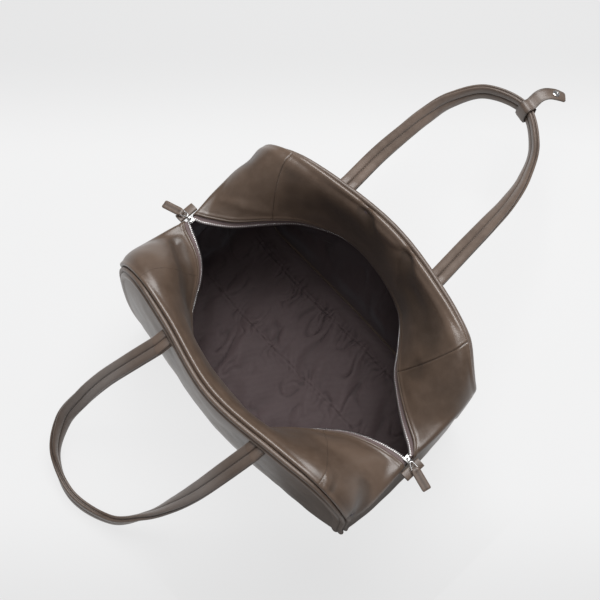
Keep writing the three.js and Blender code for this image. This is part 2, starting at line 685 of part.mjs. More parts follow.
// Snap cap on the tail of the keeper
function snapCap() {
  const f = keeperFrame();
  const [before, middle, after] = keeperTail().map((k) => keeperPoint(f, k));
  const { face } = strapTurn(after.clone().sub(before).normalize(), f.along);
  const up = face.z < 0 ? face.negate() : face;
  const base = middle.clone().addScaledVector(up, KEEPER_THICK / 2 + 0.3);
  const profile = [
    [0, 0],
    [SNAP_RADIUS, 0],
    [SNAP_RADIUS, 0.8],
    [SNAP_RADIUS * 0.75, 1.6],
    [SNAP_RADIUS * 0.35, 1.6],
    [0, 1.3],
  ].map(([x, y]) => new THREE.Vector2(x, y));
  const g = new THREE.LatheGeometry(profile, 12);
  g.applyQuaternion(new THREE.Quaternion().setFromUnitVectors(V(0, 1, 0), up));
  g.translate(base.x, base.y, base.z);
  return g;
}

const END_DROOP = rad(6);

// Frame at a zip end: along points from the slider out past the end seam
function zipEnd(end) {
  const share = end < 0 ? SLIDER_SHARE : 1 - SLIDER_SHARE;
  const front = strip(-1, share, 1);
  const back = strip(1, share, 1);
  const p = mixV(front, back, 0.5);
  const along = V(end * Math.cos(END_DROOP), 0, -Math.sin(END_DROOP));
  const up = V(end * Math.sin(END_DROOP), 0, Math.cos(END_DROOP));
  return { p, along, across: V(0, 1, 0), up };
}

// Place in a frame at distances along, across and up
function place(f, a, b, c) {
  const p = f.p.clone().addScaledVector(f.along, a);
  return p.addScaledVector(f.across, b).addScaledVector(f.up, c);
}

// Body from rings of [across, up] points at distances along the frame
function alongBody(f, stations) {
  return sweepBody(stations.map(({ a, ring }) => ring.map(([b, c]) => place(f, a, b, c))));
}

function slider(end) {
  const f = zipEnd(end);
  const w = SLIDER_WIDE / 2;
  const h = SLIDER_HIGH;
  const ring = (k, top) => [
    [-w * k, -h * 0.5],
    [w * k, -h * 0.5],
    [w * k, top * 0.6],
    [w * k * 0.6, top],
    [-w * k * 0.6, top],
    [-w * k, top * 0.6],
  ];
  return alongBody(f, [
    { a: -SLIDER_LONG * 0.5, ring: ring(1, h * 0.4) },
    { a: -SLIDER_LONG * 0.2, ring: ring(0.95, h * 0.6) },
    { a: SLIDER_LONG * 0.25, ring: ring(0.75, h * 0.6) },
    { a: SLIDER_LONG * 0.5, ring: ring(0.6, h * 0.35) },
  ]);
}

// The pull lies off the zip end towards the front, drooping over the end of the bag
function pullFrame(end) {
  const f = zipEnd(end);
  const turn = rad(end < 0 ? 17 : -12);
  const along = V(end * Math.cos(turn), -Math.sin(Math.abs(turn)), -0.1).normalize();
  const across = V(0, 0, 1).cross(along).normalize();
  const up = along.clone().cross(across).normalize();
  const p = place(f, SLIDER_LONG * 0.35, 0, SLIDER_HIGH * 0.6 + BAIL_WIRE + 0.8);
  return { p, along, across, up };
}

// Wire triangle between slider and pull
function bail(end) {
  const f = pullFrame(end);
  const corners = [
    [0, -BAIL_HALF],
    [BAIL_LONG, -PULL_WIDE * PULL_HALF],
    [BAIL_LONG, PULL_WIDE * PULL_HALF],
    [0, BAIL_HALF],
  ];
  const rings = corners.map(([a, b], i) => {
    const before = corners[(i + 3) % 4];
    const after = corners[(i + 1) % 4];
    const d1 = new THREE.Vector2(a - before[0], b - before[1]).normalize();
    const d2 = new THREE.Vector2(after[0] - a, after[1] - b).normalize();
    const n = new THREE.Vector2(-(d1.y + d2.y), d1.x + d2.x).normalize();
    const stretch = 1 / Math.max(0.4, n.dot(new THREE.Vector2(-d1.y, d1.x)));
    return spaced(0, 2 * Math.PI, 6).slice(0, -1).map((t) => {
      const away = BAIL_WIRE * Math.cos(t) * stretch;
      return place(f, a + n.x * away, b + n.y * away, BAIL_WIRE * Math.sin(t));
    });
  });
  return sweepBody(rings, true);
}

function pull(end) {
  const f = pullFrame(end);
  const w = PULL_WIDE / 2;
  const t = PULL_THICK / 2;
  const ring = (k) => [
    [-w * k, -t * 0.6],
    [-w * k * 0.85, -t],
    [w * k * 0.85, -t],
    [w * k, -t * 0.6],
    [w * k, t * 0.6],
    [w * k * 0.85, t],
    [0, t * 0.7],
    [-w * k * 0.85, t],
    [-w * k, t * 0.6],
  ];
  const start = BAIL_LONG + BAIL_WIRE + 0.4;
  return alongBody(f, [
    { a: start, ring: ring(0.85) },
    { a: start + 4, ring: ring(1) },
    { a: start + PULL_LONG * 0.5, ring: ring(1) },
    { a: start + PULL_LONG - 1, ring: ring(1) },
    { a: start + PULL_LONG, ring: ring(0.92) },
  ]);
}

// Folded leather loop sewn across the zip end, open at both of its ends
function endTab(end) {
  const f = zipEnd(end);
  const drop = TAB_HIGH * 0.6 - 0.6;
  const seam = Math.abs(strip(1, end < 0 ? 0 : 1, 1).x - f.p.x);
  const middle = seam + TAB_PAST[end < 0 ? "left" : "right"] * TAB_WIDE;
  const ringAt = (y, grow) =>
    spaced(0, 2 * Math.PI, 10).slice(0, -1).map((t) => {
      const c = Math.sin(t);
      const flat = Math.pow(Math.abs(c), 0.6) * Math.sign(c);
      const out = middle + Math.cos(t) * (TAB_WIDE / 2 - grow);
      return place(f, out, y - TAB_FORWARD, (TAB_HIGH / 2 - grow) * flat - drop);
    });
  const ys = [-TAB_LONG / 2, -TAB_LONG / 6, TAB_LONG / 6, TAB_LONG / 2];
  const outer = ys.map((y) => ringAt(y, 0));
  const inner = ys.map((y) => ringAt(y, TAB_WALL)).reverse();
  return sweepBody([...outer, ...inner], true);
}

function build() {
  const bag = new THREE.Group();
  bag.name = "boston_bag";
  for (const [side, name] of [[-1, "front"], [1, "back"]]) {
    bag.add(named(`${name}_panel`, panel(side, 0, LEATHER, EDGE_START), leather()));
    bag.add(named(`${name}_piping`, piping(side), leather()));
    bag.add(named(`${name}_strip_left`, topStrip(side, LEFT_SHARES), leather()));
    bag.add(named(`${name}_strip_middle`, topStrip(side, MIDDLE_SHARES), leather()));
    bag.add(named(`${name}_strip_right`, topStrip(side, RIGHT_SHARES), leather()));
    bag.add(named(`${name}_lining`, panel(side, LINING_LEVEL, LINING, LINING_EDGE), lining()));
    bag.add(named(`${name}_strip_lining`, liningStrip(side), lining()));
    bag.add(named(`${name}_zip_tape`, zipTape(side), tapeCloth()));
    bag.add(named(`${name}_zip_teeth`, zipTeeth(side), silver()));
    bag.add(named(`${name}_handle`, handle(side), leather()));
  }
  bag.add(named("lower_gusset", lowerGusset(0, LEATHER, EDGE_START), leather()));
  bag.add(named("gusset_lining", lowerGusset(LINING_LEVEL, LINING, LINING_START), lining()));
  for (const [end, name] of [[-1, "left"], [1, "right"]]) {
    bag.add(named(`${name}_slider`, slider(end), silver()));
    bag.add(named(`${name}_bail`, bail(end), silver()));
    bag.add(named(`${name}_pull`, pull(end), leather()));
    bag.add(named(`${name}_end_tab`, endTab(end), leather()));
  }
  bag.add(named("keeper_strap", keeper(), leather()));
  bag.add(named("snap_cap", snapCap(), silver()));
  return bag;
}

export default build();
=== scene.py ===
"""A leather boston bag that stands open on its base, with both handles fallen outwards.

Metres, in the part's frame: X runs along the zip, Y from the front panel to the back
panel, and Z up from the underside of the base.
"""

import logging
import math
from dataclasses import dataclass, field
from enum import Enum
from typing import Callable, Sequence, Union

import bpy
import numpy as np
from mathutils import Matrix, Vector, noise


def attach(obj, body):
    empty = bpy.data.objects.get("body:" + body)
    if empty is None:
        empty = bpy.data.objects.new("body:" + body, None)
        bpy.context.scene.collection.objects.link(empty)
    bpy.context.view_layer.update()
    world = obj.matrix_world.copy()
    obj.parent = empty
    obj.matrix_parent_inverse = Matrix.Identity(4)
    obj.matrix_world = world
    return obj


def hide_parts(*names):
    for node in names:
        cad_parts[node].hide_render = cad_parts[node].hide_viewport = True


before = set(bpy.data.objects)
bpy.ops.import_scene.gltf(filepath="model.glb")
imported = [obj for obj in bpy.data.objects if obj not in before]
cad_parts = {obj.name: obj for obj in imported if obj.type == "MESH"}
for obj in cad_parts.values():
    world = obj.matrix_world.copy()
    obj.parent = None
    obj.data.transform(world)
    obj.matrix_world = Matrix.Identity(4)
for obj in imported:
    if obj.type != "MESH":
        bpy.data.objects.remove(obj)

LOG = logging.getLogger("boston_bag")
MM = 0.001
LEATHER_RELIEF = 1.4 * MM
Array = np.ndarray
Table = tuple[tuple[float, ...], ...]
Triple = tuple[float, float, float]
Colour = Triple
Piece = bpy.types.Object
Socket = bpy.types.NodeSocket
Material = bpy.types.Material


class Side(Enum):
    """The two long sides of the bag."""

    FRONT = -1
    BACK = 1

    @property
    def word(self) -> str:
        """Name of the side in the names of the pieces."""
        return self.name.lower()


class End(Enum):
    """The two ends of the zip."""

    LEFT = -1
    RIGHT = 1

    @property
    def word(self) -> str:
        """Name of the end in the names of the pieces."""
        return self.name.lower()


# ---- numbers


def smooth(share: Array) -> Array:
    """Eased share between 0 and 1."""
    held = np.clip(share, 0.0, 1.0)
    return held * held * (3.0 - 2.0 * held)


def hump(place: Array, centre: float, width: float) -> Array:
    """Bell of height 1 around a centre."""
    return np.exp(-(((place - centre) / width) ** 2))


def mix(start: Array, end: Array, share: Array) -> Array:
    """Value at a share of the way from start to end."""
    return start + (end - start) * share


def unit(vectors: Array) -> Array:
    """Vectors scaled to length 1 along the last axis."""
    return vectors / np.maximum(np.linalg.norm(vectors, axis=-1, keepdims=True), 1e-12)


def stands_out(relief: Array) -> Array:
    """How far places of the leather stand out, from -1 in a crease to 1 on a ridge; the finish
    darkens the creases as painted shade and lightens the ridges for wear and painted highlight.
    """
    return np.clip(relief / LEATHER_RELIEF, -1.0, 1.0)


def scaled(colour: Colour, factor: float) -> Colour:
    """A colour made darker or lighter."""
    return tuple(min(1.0, c * factor) for c in colour)


def everywhere(direction: Sequence[float], points: Array) -> Array:
    """One direction, repeated for each of the points."""
    return np.broadcast_to(np.array(direction, float), points.shape)


def facing(points: Array, sign: float) -> Array:
    """Normals of a grid of points.

    Args:
        points: Grid of rows, columns and coordinates.
        sign: 1 or -1, to choose the side of the sheet.

    Returns:
        A unit normal for each point.
    """
    along = np.gradient(points, axis=0)
    across = np.gradient(points, axis=1)
    return unit(np.cross(along, across)) * sign


def read_rows(table: Table, share: Array) -> Array:
    """Smooth values between the rows of a table.

    Args:
        table: Rows that start with the share at which they hold.
        share: Shares to read at, in any shape.

    Returns:
        The other columns of the table on a last axis.
    """
    rows = np.asarray(table, float)
    keys, values = rows[:, 0], rows[:, 1:]
    place = np.asarray(share, float)
    i = np.clip(np.searchsorted(keys[1:], place, side="left"), 0, len(keys) - 2)
    step = keys[i + 1] - keys[i]
    k = np.clip((place - keys[i]) / step, 0.0, 1.0)[..., None]

    def slope(p: Array, q: Array) -> Array:
        """Rise of the values from one row to another, for one step."""
        gap = keys[q] - keys[p]
        return (values[q] - values[p]) * (step / np.where(gap == 0, 1.0, gap))[..., None]

    first = slope(np.maximum(i - 1, 0), i + 1)
    last = slope(i, np.minimum(i + 2, len(keys) - 1))
    return (
        (2 * k**3 - 3 * k**2 + 1) * values[i]
        + (k**3 - 2 * k**2 + k) * first
        + (3 * k**2 - 2 * k**3) * values[i + 1]
        + (k**3 - k**2) * last
    )


def cloud(points: Array, scale: float, seed: float = 0.0) -> Array:
    """Smooth noise at points.

    Args:
        points: Coordinates on the last axis.
        scale: Size of a lump, in metres.
        seed: Shift that gives another pattern.

    Returns:
        Noise between about -1 and 1, in the shape of the points.
    """
    flat = points.reshape(-1, points.shape[-1]) / scale
    if flat.shape[1] == 2:
        flat = np.column_stack([flat, np.zeros(len(flat))])
    flat = flat + seed
    found = np.fromiter((noise.noise(p) for p in flat), float, len(flat))
    return found.reshape(points.shape[:-1])


def standing(height: Array, cells: int, depth: float) -> Array:
    """How far each place of a grid stands out from those round it.

    Args:
        height: Heights on a grid.
        cells: Reach of the comparison, in steps of the grid.
        depth: Height that counts as 1.

    Returns:
        Values from -1 in a crease to 1 on a ridge.
    """
    rows, cols = height.shape
    wide = np.pad(height, cells, mode="edge")
    span = range(2 * cells + 1)
    total = sum(wide[i:i + rows, j:j + cols] for i in span for j in span)
    return np.clip((height - total / len(span) ** 2) / depth, -1.0, 1.0)


def running(points: Array) -> Array:
    """Distance run along a line of points, from 0."""
    steps = np.linalg.norm(np.diff(points, axis=0), axis=1)
    return np.concatenate([[0.0], np.cumsum(steps)])


def even_steps(line: Array, pitch: float, values: Array) -> Array:
    """Values of a line's points, read at even steps along it.

    Args:
        line: Points of the line.
        pitch: Rough distance between the steps.
        values: A value for each point.

    Returns:
        A value for the middle of each step.
    """
    run = running(line)
    count = int(run[-1] / pitch)
    return np.interp((np.arange(count) + 0.5) * run[-1] / count, run, values)


def stations(length: float, dense: Sequence[float], step: float) -> Array:
    """Places along a length, closer together at both ends.

    Args:
        length: Length to fill.
        dense: Distances from each end that are kept.
        step: Rough distance between the places in the middle.

    Returns:
        Rising distances from 0 to the length.
    """
    ends = np.asarray(dense, float)
    count = max(2, int(round((length - 2 * ends[-1]) / step)))
    middle = np.linspace(ends[-1], length - ends[-1], count + 1)[1:-1]
    return np.concatenate([ends, middle, (length - ends)[::-1]])


# ---- modelling


class Bench:
    """Adds primitives, shapes them and applies what finishes them."""

    @staticmethod
    def clear() -> None:
        """Deselects everything."""
        bpy.ops.object.select_all(action="DESELECT")

    @staticmethod
    def hold(piece: Piece) -> None:
        """Makes one piece the only selected and active one."""
        Bench.clear()
        piece.select_set(True)
        bpy.context.view_layer.objects.active = piece

    @staticmethod
    def take(name: str) -> Piece:
        """The object that was just added, under its own name."""
        piece = bpy.context.active_object
        piece.name = name
        piece.data.name = name
        return piece

    @staticmethod
    def add(name: str, primitive: Callable[..., object], **sizes: object) -> Piece:
        """Adds a primitive.

        Args:
            name: Name of the new object.
            primitive: Operator that adds it.
            sizes: The operator's settings.

        Returns:
            The new object, the only one selected.
        """
        Bench.clear()
        primitive(**sizes)
        return Bench.take(name)

    @staticmethod
    def modify(piece: Piece, kind: str, **settings: object) -> None:
        """Adds a modifier and applies it.

        Args:
            piece: Object to change.
            kind: Type of the modifier.
            settings: Its settings by name.
        """
        Bench.hold(piece)
        modifier = piece.modifiers.new(kind.lower(), kind)
        for key, value in settings.items():
            setattr(modifier, key, value)
        bpy.ops.object.modifier_apply(modifier=modifier.name)

    @staticmethod
    def settle(piece: Piece, place: Matrix | None = None) -> None:
        """Puts a piece's place into its mesh.

        Args:
            piece: Object to settle.
            place: Where the piece goes, or None if it is already there.
        """
        if place is not None:
            piece.matrix_world = place @ piece.matrix_world
        Bench.hold(piece)
        bpy.ops.object.transform_apply(location=True, rotation=True, scale=True)

    @staticmethod
    def round_off(piece: Piece, degrees: float = 40.0) -> None:
        """Shades a piece smooth, apart from edges sharper than an angle."""
        Bench.hold(piece)
        bpy.ops.object.shade_smooth_by_angle(angle=math.radians(degrees))

    @staticmethod
    def edit(
        piece: Piece, *steps: Callable[[], object], picked: bool = False
    ) -> None:
        """Runs steps in edit mode.

        Args:
            piece: Object to edit.
            steps: Calls of edit operators, in order.
            picked: Whether they act on the picked faces alone.
        """
        Bench.hold(piece)
        bpy.ops.object.mode_set(mode="EDIT")
        if picked:
            bpy.ops.mesh.select_mode(type="FACE")
        else:
            bpy.ops.mesh.select_all(action="SELECT")
        for step in steps:
            step()
        bpy.ops.object.mode_set(mode="OBJECT")

    @staticmethod
    def pick(piece: Piece, keep: Callable[[Vector, Vector], bool]) -> None:
        """Selects the faces of a piece by their middle and normal, for the next edit.

        Args:
            piece: Object with the faces.
            keep: Says of a face's middle and normal whether it is selected.
        """
        mesh = piece.data
        for group in (mesh.vertices, mesh.edges, mesh.polygons):
            group.foreach_set("select", [False] * len(group))
        for face in mesh.polygons:
            face.select = keep(face.center, face.normal)

    @staticmethod
    def join(name: str, parts: Sequence[Piece]) -> Piece:
        """Joins parts into one piece.

        Args:
            name: Name of the piece.
            parts: Objects to join.

        Returns:
            The joined piece.
        """
        Bench.clear()
        for part in parts:
            part.select_set(True)
        bpy.context.view_layer.objects.active = parts[0]
        bpy.ops.object.join()
        return Bench.take(name)

    @staticmethod
    def turn_out(piece: Piece) -> None:
        """Points all faces of a closed piece outwards."""
        Bench.edit(piece, lambda: bpy.ops.mesh.normals_make_consistent(inside=False))


@dataclass
class Sheet:
    """A grid primitive that is laid on a surface point by point."""

    name: str
    points: Array
    weave: Array | None = None
    crest: Array | None = None
    outward: float = 1.0
    closed: bool = False
    capped: bool = False
    thick: float = 0.0
    offset: float = -1.0

    def lay(self) -> Piece:
        """Makes the piece.

        Returns:
            The new object, at the origin, with its place in its mesh.
        """
        rows, cols = self.points.shape[:2]
        piece = Bench.add(
            self.name, bpy.ops.mesh.primitive_grid_add,
            x_subdivisions=cols - 1, y_subdivisions=rows - 1, size=2.0,
        )
        mesh = piece.data
        start = np.zeros(len(mesh.vertices) * 3)
        mesh.vertices.foreach_get("co", start)
        start = start.reshape(-1, 3)
        col = np.rint((start[:, 0] + 1) / 2 * (cols - 1)).astype(int)
        row = np.rint((start[:, 1] + 1) / 2 * (rows - 1)).astype(int)
        mesh.vertices.foreach_set("co", self.points[row, col].astype(np.float32).ravel())
        corner = np.zeros(len(mesh.loops), np.int32)
        mesh.loops.foreach_get("vertex_index", corner)
        if self.weave is not None:
            flat = self.weave[row, col][corner].astype(np.float32)
            mesh.uv_layers[0].data.foreach_set("uv", flat.ravel())
        # crest attribute: the finishes lighten raised places for wear and painted highlight, and
        # darken creases as painted shade
        wear_highlight_and_shade = mesh.attributes.new("crest", "FLOAT", "POINT")
        if self.crest is not None:
            wear_highlight_and_shade.data.foreach_set("value", self.crest[row, col].astype(np.float32))
        mesh.update()
        if self.closed:
            Bench.edit(piece, lambda: bpy.ops.mesh.remove_doubles(threshold=1e-6))
        if self.capped:
            Bench.edit(piece, lambda: bpy.ops.mesh.fill_holes(sides=0))
        if self.outward < 0:
            Bench.edit(piece, bpy.ops.mesh.flip_normals)
        if self.thick:
            Bench.modify(
                piece, "SOLIDIFY", thickness=self.thick, offset=self.offset, use_rim=True
            )
        Bench.round_off(piece, 60.0)
        return piece


def tube(
    name: str, path: Array, across: Array, face: Array, section: Array,
    looped: bool = False, crest: Array | None = None,
) -> Piece:
    """A section swept along a path.

    Args:
        name: Name of the piece.
        path: Points of the middle line.
        across: Unit vectors for the section's first coordinate.
        face: Unit vectors for the section's second coordinate.
        section: Points of the section, one set for all or one set for each place.
        looped: Whether the path closes on itself.
        crest: How far each place of the sections stands out, if it isn't 0.

    Returns:
        A closed piece.
    """
    rings = section if section.ndim == 3 else np.broadcast_to(section, (len(path), *section.shape))
    rings = np.concatenate([rings, rings[:, :1]], axis=1)
    points = path[:, None] + rings[..., :1] * across[:, None] + rings[..., 1:] * face[:, None]
    if looped:
        points = np.concatenate([points, points[:1]])
    run = running(points[:, 0])[:, None] + np.zeros(points.shape[:2])
    around = np.linspace(0, 1, points.shape[1])[None, :] + np.zeros(points.shape[:2])
    if crest is not None:
        crest = np.concatenate([crest, crest[:, :1]], axis=1)
    piece = Sheet(
        name, points, weave=np.stack([run, around], -1), crest=crest, closed=True, capped=not looped
    ).lay()
    Bench.turn_out(piece)
    return piece


def ellipse(wide: float, high: float, count: int, power: float = 1.0) -> Array:
    """Points round a rounded section.

    Args:
        wide: Half width.
        high: Half height.
        count: Number of points.
        power: 1 for an ellipse, less for squarer shoulders.

    Returns:
        Points as rows of two coordinates.
    """
    turn = np.arange(count) * 2 * math.pi / count
    c, s = np.cos(turn), np.sin(turn)
    return np.stack(
        [
            wide * np.sign(c) * np.abs(c) ** power,
            high * np.sign(s) * np.abs(s) ** power,
        ],
        -1,
    )


@dataclass
class Stamp:
    """One small model, copied along a line."""

    model: Piece

    def row(
        self, name: str, place: Array, along: Array, across: Array, up: Array
    ) -> Piece:
        """Copies the model to each place.

        Args:
            name: Name of the piece that holds the copies.
            place: Middle of each copy.
            along: Direction of each copy's X axis.
            across: Direction of each copy's Y axis.
            up: Direction of each copy's Z axis.

        Returns:
            One piece with all of the copies.
        """
        mesh = self.model.data
        start = np.zeros(len(mesh.vertices) * 3)
        mesh.vertices.foreach_get("co", start)
        start = start.reshape(-1, 3)
        turned = (
            start[None, :, :1] * along[:, None]
            + start[None, :, 1:2] * across[:, None]
            + start[None, :, 2:] * up[:, None]
            + place[:, None]
        )
        faces = [list(face.vertices) for face in mesh.polygons]
        step = len(start)
        all_faces = [[v + n * step for v in face] for n in range(len(place)) for face in faces]
        copies = bpy.data.meshes.new(name)
        copies.from_pydata(turned.reshape(-1, 3).tolist(), [], all_faces)
        copies.update()
        piece = bpy.data.objects.new(name, copies)
        bpy.context.collection.objects.link(piece)
        Bench.round_off(piece, 50.0)
        return piece

    def done(self) -> None:
        """Removes the model that was copied."""
        bpy.data.objects.remove(self.model, do_unlink=True)


# ---- finishes


class Shade:
    """A number in a material; arithmetic on it adds Math nodes."""

    def __init__(self, graph: "Graph", socket: Socket) -> None:
        """Wraps an output socket of a graph's node."""
        self.graph = graph
        self.socket = socket

    def _math(self, operation: str, first: "Number", second: "Number" = 0.0) -> "Shade":
        """A Math node on two values."""
        node = self.graph.add(
            "ShaderNodeMath", {"operation": operation}, {0: first, 1: second}
        )
        return Shade(self.graph, node.outputs[0])

    def __add__(self, other: "Number") -> "Shade":
        """Sum."""
        return self._math("ADD", self, other)

    __radd__ = __add__

    def __mul__(self, other: "Number") -> "Shade":
        """Product."""
        return self._math("MULTIPLY", self, other)

    __rmul__ = __mul__

    def __sub__(self, other: "Number") -> "Shade":
        """Difference."""
        return self._math("SUBTRACT", self, other)

    def __rsub__(self, other: "Number") -> "Shade":
        """Difference from a number."""
        return self._math("SUBTRACT", other, self)

    def sine(self) -> "Shade":
        """Sine of the value."""
        return self._math("SINE", self)

    def size(self) -> "Shade":
        """Value without its sign."""
        return self._math("ABSOLUTE", self)

    def between(self, low: float, high: float) -> "Shade":
        """Eased share of the value between two limits."""
        node = self.graph.add(
            "ShaderNodeMapRange",
            {"interpolation_type": "SMOOTHSTEP"},
            {"Value": self, "From Min": low, "From Max": high},
        )
        return Shade(self.graph, node.outputs[0])


Number = Union[Shade, float]


class Graph:
    """Nodes of one material."""

    def __init__(self, name: str) -> None:
        """Starts a material with its shader."""
        self.material = bpy.data.materials.new(name)
        self.material.use_nodes = True
        self.tree = self.material.node_tree
        self.shader = self.tree.nodes["Principled BSDF"]

    def add(
        self, kind: str, settings: dict[str, object] | None = None,
        values: dict[Union[int, str], object] | None = None,
    ) -> bpy.types.Node:
        """Adds a node.

        Args:
            kind: Type of the node.
            settings: Its settings, such as an operation.
            values: Values or links of its sockets, by name or number.

        Returns:
            The new node.
        """
        node = self.tree.nodes.new(kind)
        for key, value in (settings or {}).items():
            setattr(node, key, value)
        for key, value in (values or {}).items():
            self.feed(node.inputs[key], value)
        return node

    def feed(self, socket: Socket, value: object) -> None:
        """Links or sets a socket.

        Args:
            socket: Input to fill.
            value: A shade, an output socket, a colour or a number.
        """
        if isinstance(value, Shade):
            self.tree.links.new(value.socket, socket)
        elif isinstance(value, Socket):
            self.tree.links.new(value, socket)
        elif isinstance(value, tuple) and socket.type == "RGBA":
            socket.default_value = (*value, 1.0)
        else:
            socket.default_value = value

    def finish(self, values: dict[str, object]) -> Material:
        """Fills the shader's sockets and gives the material."""
        for key, value in values.items():
            self.feed(self.shader.inputs[key], value)
        return self.material

    def place(self) -> Socket:
        """Object coordinates, in metres."""
        return self.add("ShaderNodeTexCoord").outputs["Object"]

    def apart(self, source: Socket) -> tuple[Shade, Shade]:
        """The first two numbers of a vector."""
        node = self.add("ShaderNodeSeparateXYZ", None, {0: source})
        return Shade(self, node.outputs[0]), Shade(self, node.outputs[1])

    def weave(self) -> tuple[Shade, Shade]:
        """The piece's own lengths along and across."""
        return self.apart(self.add("ShaderNodeUVMap").outputs[0])

    def noise(
        self, place: Socket, scale: float, detail: float = 3.0, rough: float = 0.5
    ) -> Shade:
        """Noise between 0 and 1.

        Args:
            place: Coordinates.
            scale: Lumps to a metre.
            detail: Octaves.
            rough: Share of the finer octaves.

        Returns:
            The noise.
        """
        node = self.add(
            "ShaderNodeTexNoise",
            None,
            {"Vector": place, "Scale": scale, "Detail": detail, "Roughness": rough},
        )
        return Shade(self, node.outputs[0])

    def cells(self, place: Socket, scale: float, feature: str = "F1") -> Shade:
        """Distance to the nearest point of a scatter.

        Args:
            place: Coordinates.
            scale: Points to a metre.
            feature: Kind of distance.

        Returns:
            The distance.
        """
        node = self.add(
            "ShaderNodeTexVoronoi", {"feature": feature}, {"Vector": place, "Scale": scale}
        )
        return Shade(self, node.outputs["Distance"])

    def wear_highlight_and_shade(self) -> Shade:
        """How far a place stands out, as the piece says; the finishes lighten raised places for
        wear and painted highlight and darken creases as painted shade.
        """
        node = self.add("ShaderNodeAttribute", {"attribute_name": "crest"})
        return Shade(self, node.outputs["Fac"])

    def blend(self, share: Number, first: object, second: object) -> Socket:
        """Mixes two colours.

        Args:
            share: Share of the second colour.
            first: Colour or socket.
            second: Colour or socket.

        Returns:
            The mixed colour.
        """
        node = self.add(
            "ShaderNodeMix", {"data_type": "RGBA"}, {0: share, 6: first, 7: second}
        )
        return node.outputs[2]

    def relief(self, height: Shade, depth: float, strength: float = 1.0) -> Socket:
        """Normals bent by a height.

        Args:
            height: Height between 0 and 1.
            depth: Depth of a whole step, in metres.
            strength: Strength of the effect.

        Returns:
            The normal.
        """
        node = self.add(
            "ShaderNodeBump", None, {"Strength": strength, "Distance": depth, "Height": height}
        )
        return node.outputs[0]


@dataclass(frozen=True)
class LeatherFinish:
    """Smooth calf leather with a fine grain."""

    name: str
    colour: Colour
    # lighter tone: for mottling, for wear on beads and cut edges, and as painted highlight on the
    # ridges of folds
    wear_and_highlight_colour: Colour
    roughness: float = 0.42
    shine: float = 0.6
    clouds: float = 16.0
    mottling: float = 95.0
    grain: float = 1150.0
    grain_depth: float = 0.00009
    dark: float = 0.84
    light: float = 1.13
    # share of the colour left in creases and grooves, darkened as painted shade
    crease: float = 0.45

    def make(self) -> Material:
        """The leather's material."""
        g = Graph(self.name)
        place = g.place()
        broad = g.noise(place, self.clouds, 4.0, 0.55)
        mottle = g.noise(place, self.mottling, 3.0, 0.6)
        pebble = g.cells(place, self.grain, "SMOOTH_F1")
        fine = g.noise(place, self.grain * 2.2, 2.0, 0.6)
        creases = g.cells(place, self.grain * 0.22, "DISTANCE_TO_EDGE")
        crest = g.wear_highlight_and_shade()
        dark, light = scaled(self.colour, self.dark), scaled(self.colour, self.light)
        tone = g.blend(broad.between(0.3, 0.7), dark, light)
        tone = g.blend(mottle.between(0.35, 0.75) * 0.22, tone, self.wear_and_highlight_colour)
        # Raised places are lightened: wear on the beads and cut edges, painted highlight on the
        # ridges of folds and on the back strip's shelf. Creases and grooves are darkened as painted
        # shade.
        tone = g.blend(crest.between(0.25, 1.0) * 0.34, tone, self.wear_and_highlight_colour)
        crease_shade = (1 - crest).between(1.05, 1.9) * 0.55
        tone = g.blend(crease_shade, tone, scaled(self.colour, self.crease))
        height = pebble * 0.55 + fine * 0.3 + creases.between(0.0, 0.12) * 0.25
        rough = (mottle - 0.5) * 0.14 + (broad - 0.5) * 0.08 + self.roughness - crest * 0.05
        return g.finish({
            "Base Color": tone,
            "Roughness": rough,
            "Specular IOR Level": self.shine,
            "Sheen Weight": 0.06,
            "Sheen Roughness": 0.5,
            "Normal": g.relief(height, self.grain_depth, 0.8),
        })


@dataclass(frozen=True)
class ClothFinish:
    """Woven cloth that reads the piece's own lengths."""

    name: str
    colour: Colour
    yarns: float = 2600.0
    slant: float = 1.0
    depth: float = 0.00008
    roughness: float = 0.72
    sheen: float = 0.32
    sheen_tint: Colour = (0.84, 0.90, 1.0)
    shine: float = 0.3
    dark: float = 0.72
    light: float = 1.22
    # shares of the colour in the creases of the slack cloth, as painted shade, and on its ridges,
    # as painted highlight
    crease: float = 0.35
    ridge: float = 1.4

    def make(self) -> Material:
        """The cloth's material."""
        g = Graph(self.name)
        u, v = g.weave()
        place = g.place()
        slubs = g.noise(place, 260.0, 3.0, 0.6)
        broad = g.noise(place, 22.0, 3.0, 0.5)
        twill = ((u * self.yarns + v * (self.yarns * self.slant)) + slubs * 0.8).sine()
        cross = (v * (self.yarns * 2.1)).sine() * (u * (self.yarns * 2.1)).sine()
        thread = twill * 0.35 + cross * 0.15 + 0.5
        dark, light = scaled(self.colour, self.dark), scaled(self.colour, self.light)
        tone = g.blend(thread.between(0.1, 0.9), dark, light)
        tone = g.blend(broad.between(0.35, 0.7) * 0.3, tone, light)
        tone = g.blend(slubs.between(0.55, 0.8) * 0.25, tone, dark)
        # The slack cloth's creases are darkened as painted shade and its ridges lightened as
        # painted highlight.
        crest = g.wear_highlight_and_shade()
        crease_shade = (1 - crest).between(1.05, 2.0) * 0.42
        tone = g.blend(crease_shade, tone, scaled(self.colour, self.crease))
        tone = g.blend(crest.between(0.1, 1.0) * 0.22, tone, scaled(self.colour, self.ridge))
        return g.finish({
            "Base Color": tone,
            "Roughness": (slubs - 0.5) * 0.2 + self.roughness,
            "Specular IOR Level": self.shine,
            "Sheen Weight": self.sheen,
            "Sheen Roughness": 0.4,
            "Sheen Tint": self.sheen_tint,
            "Normal": g.relief(thread + slubs * 0.4, self.depth, 0.7),
        })


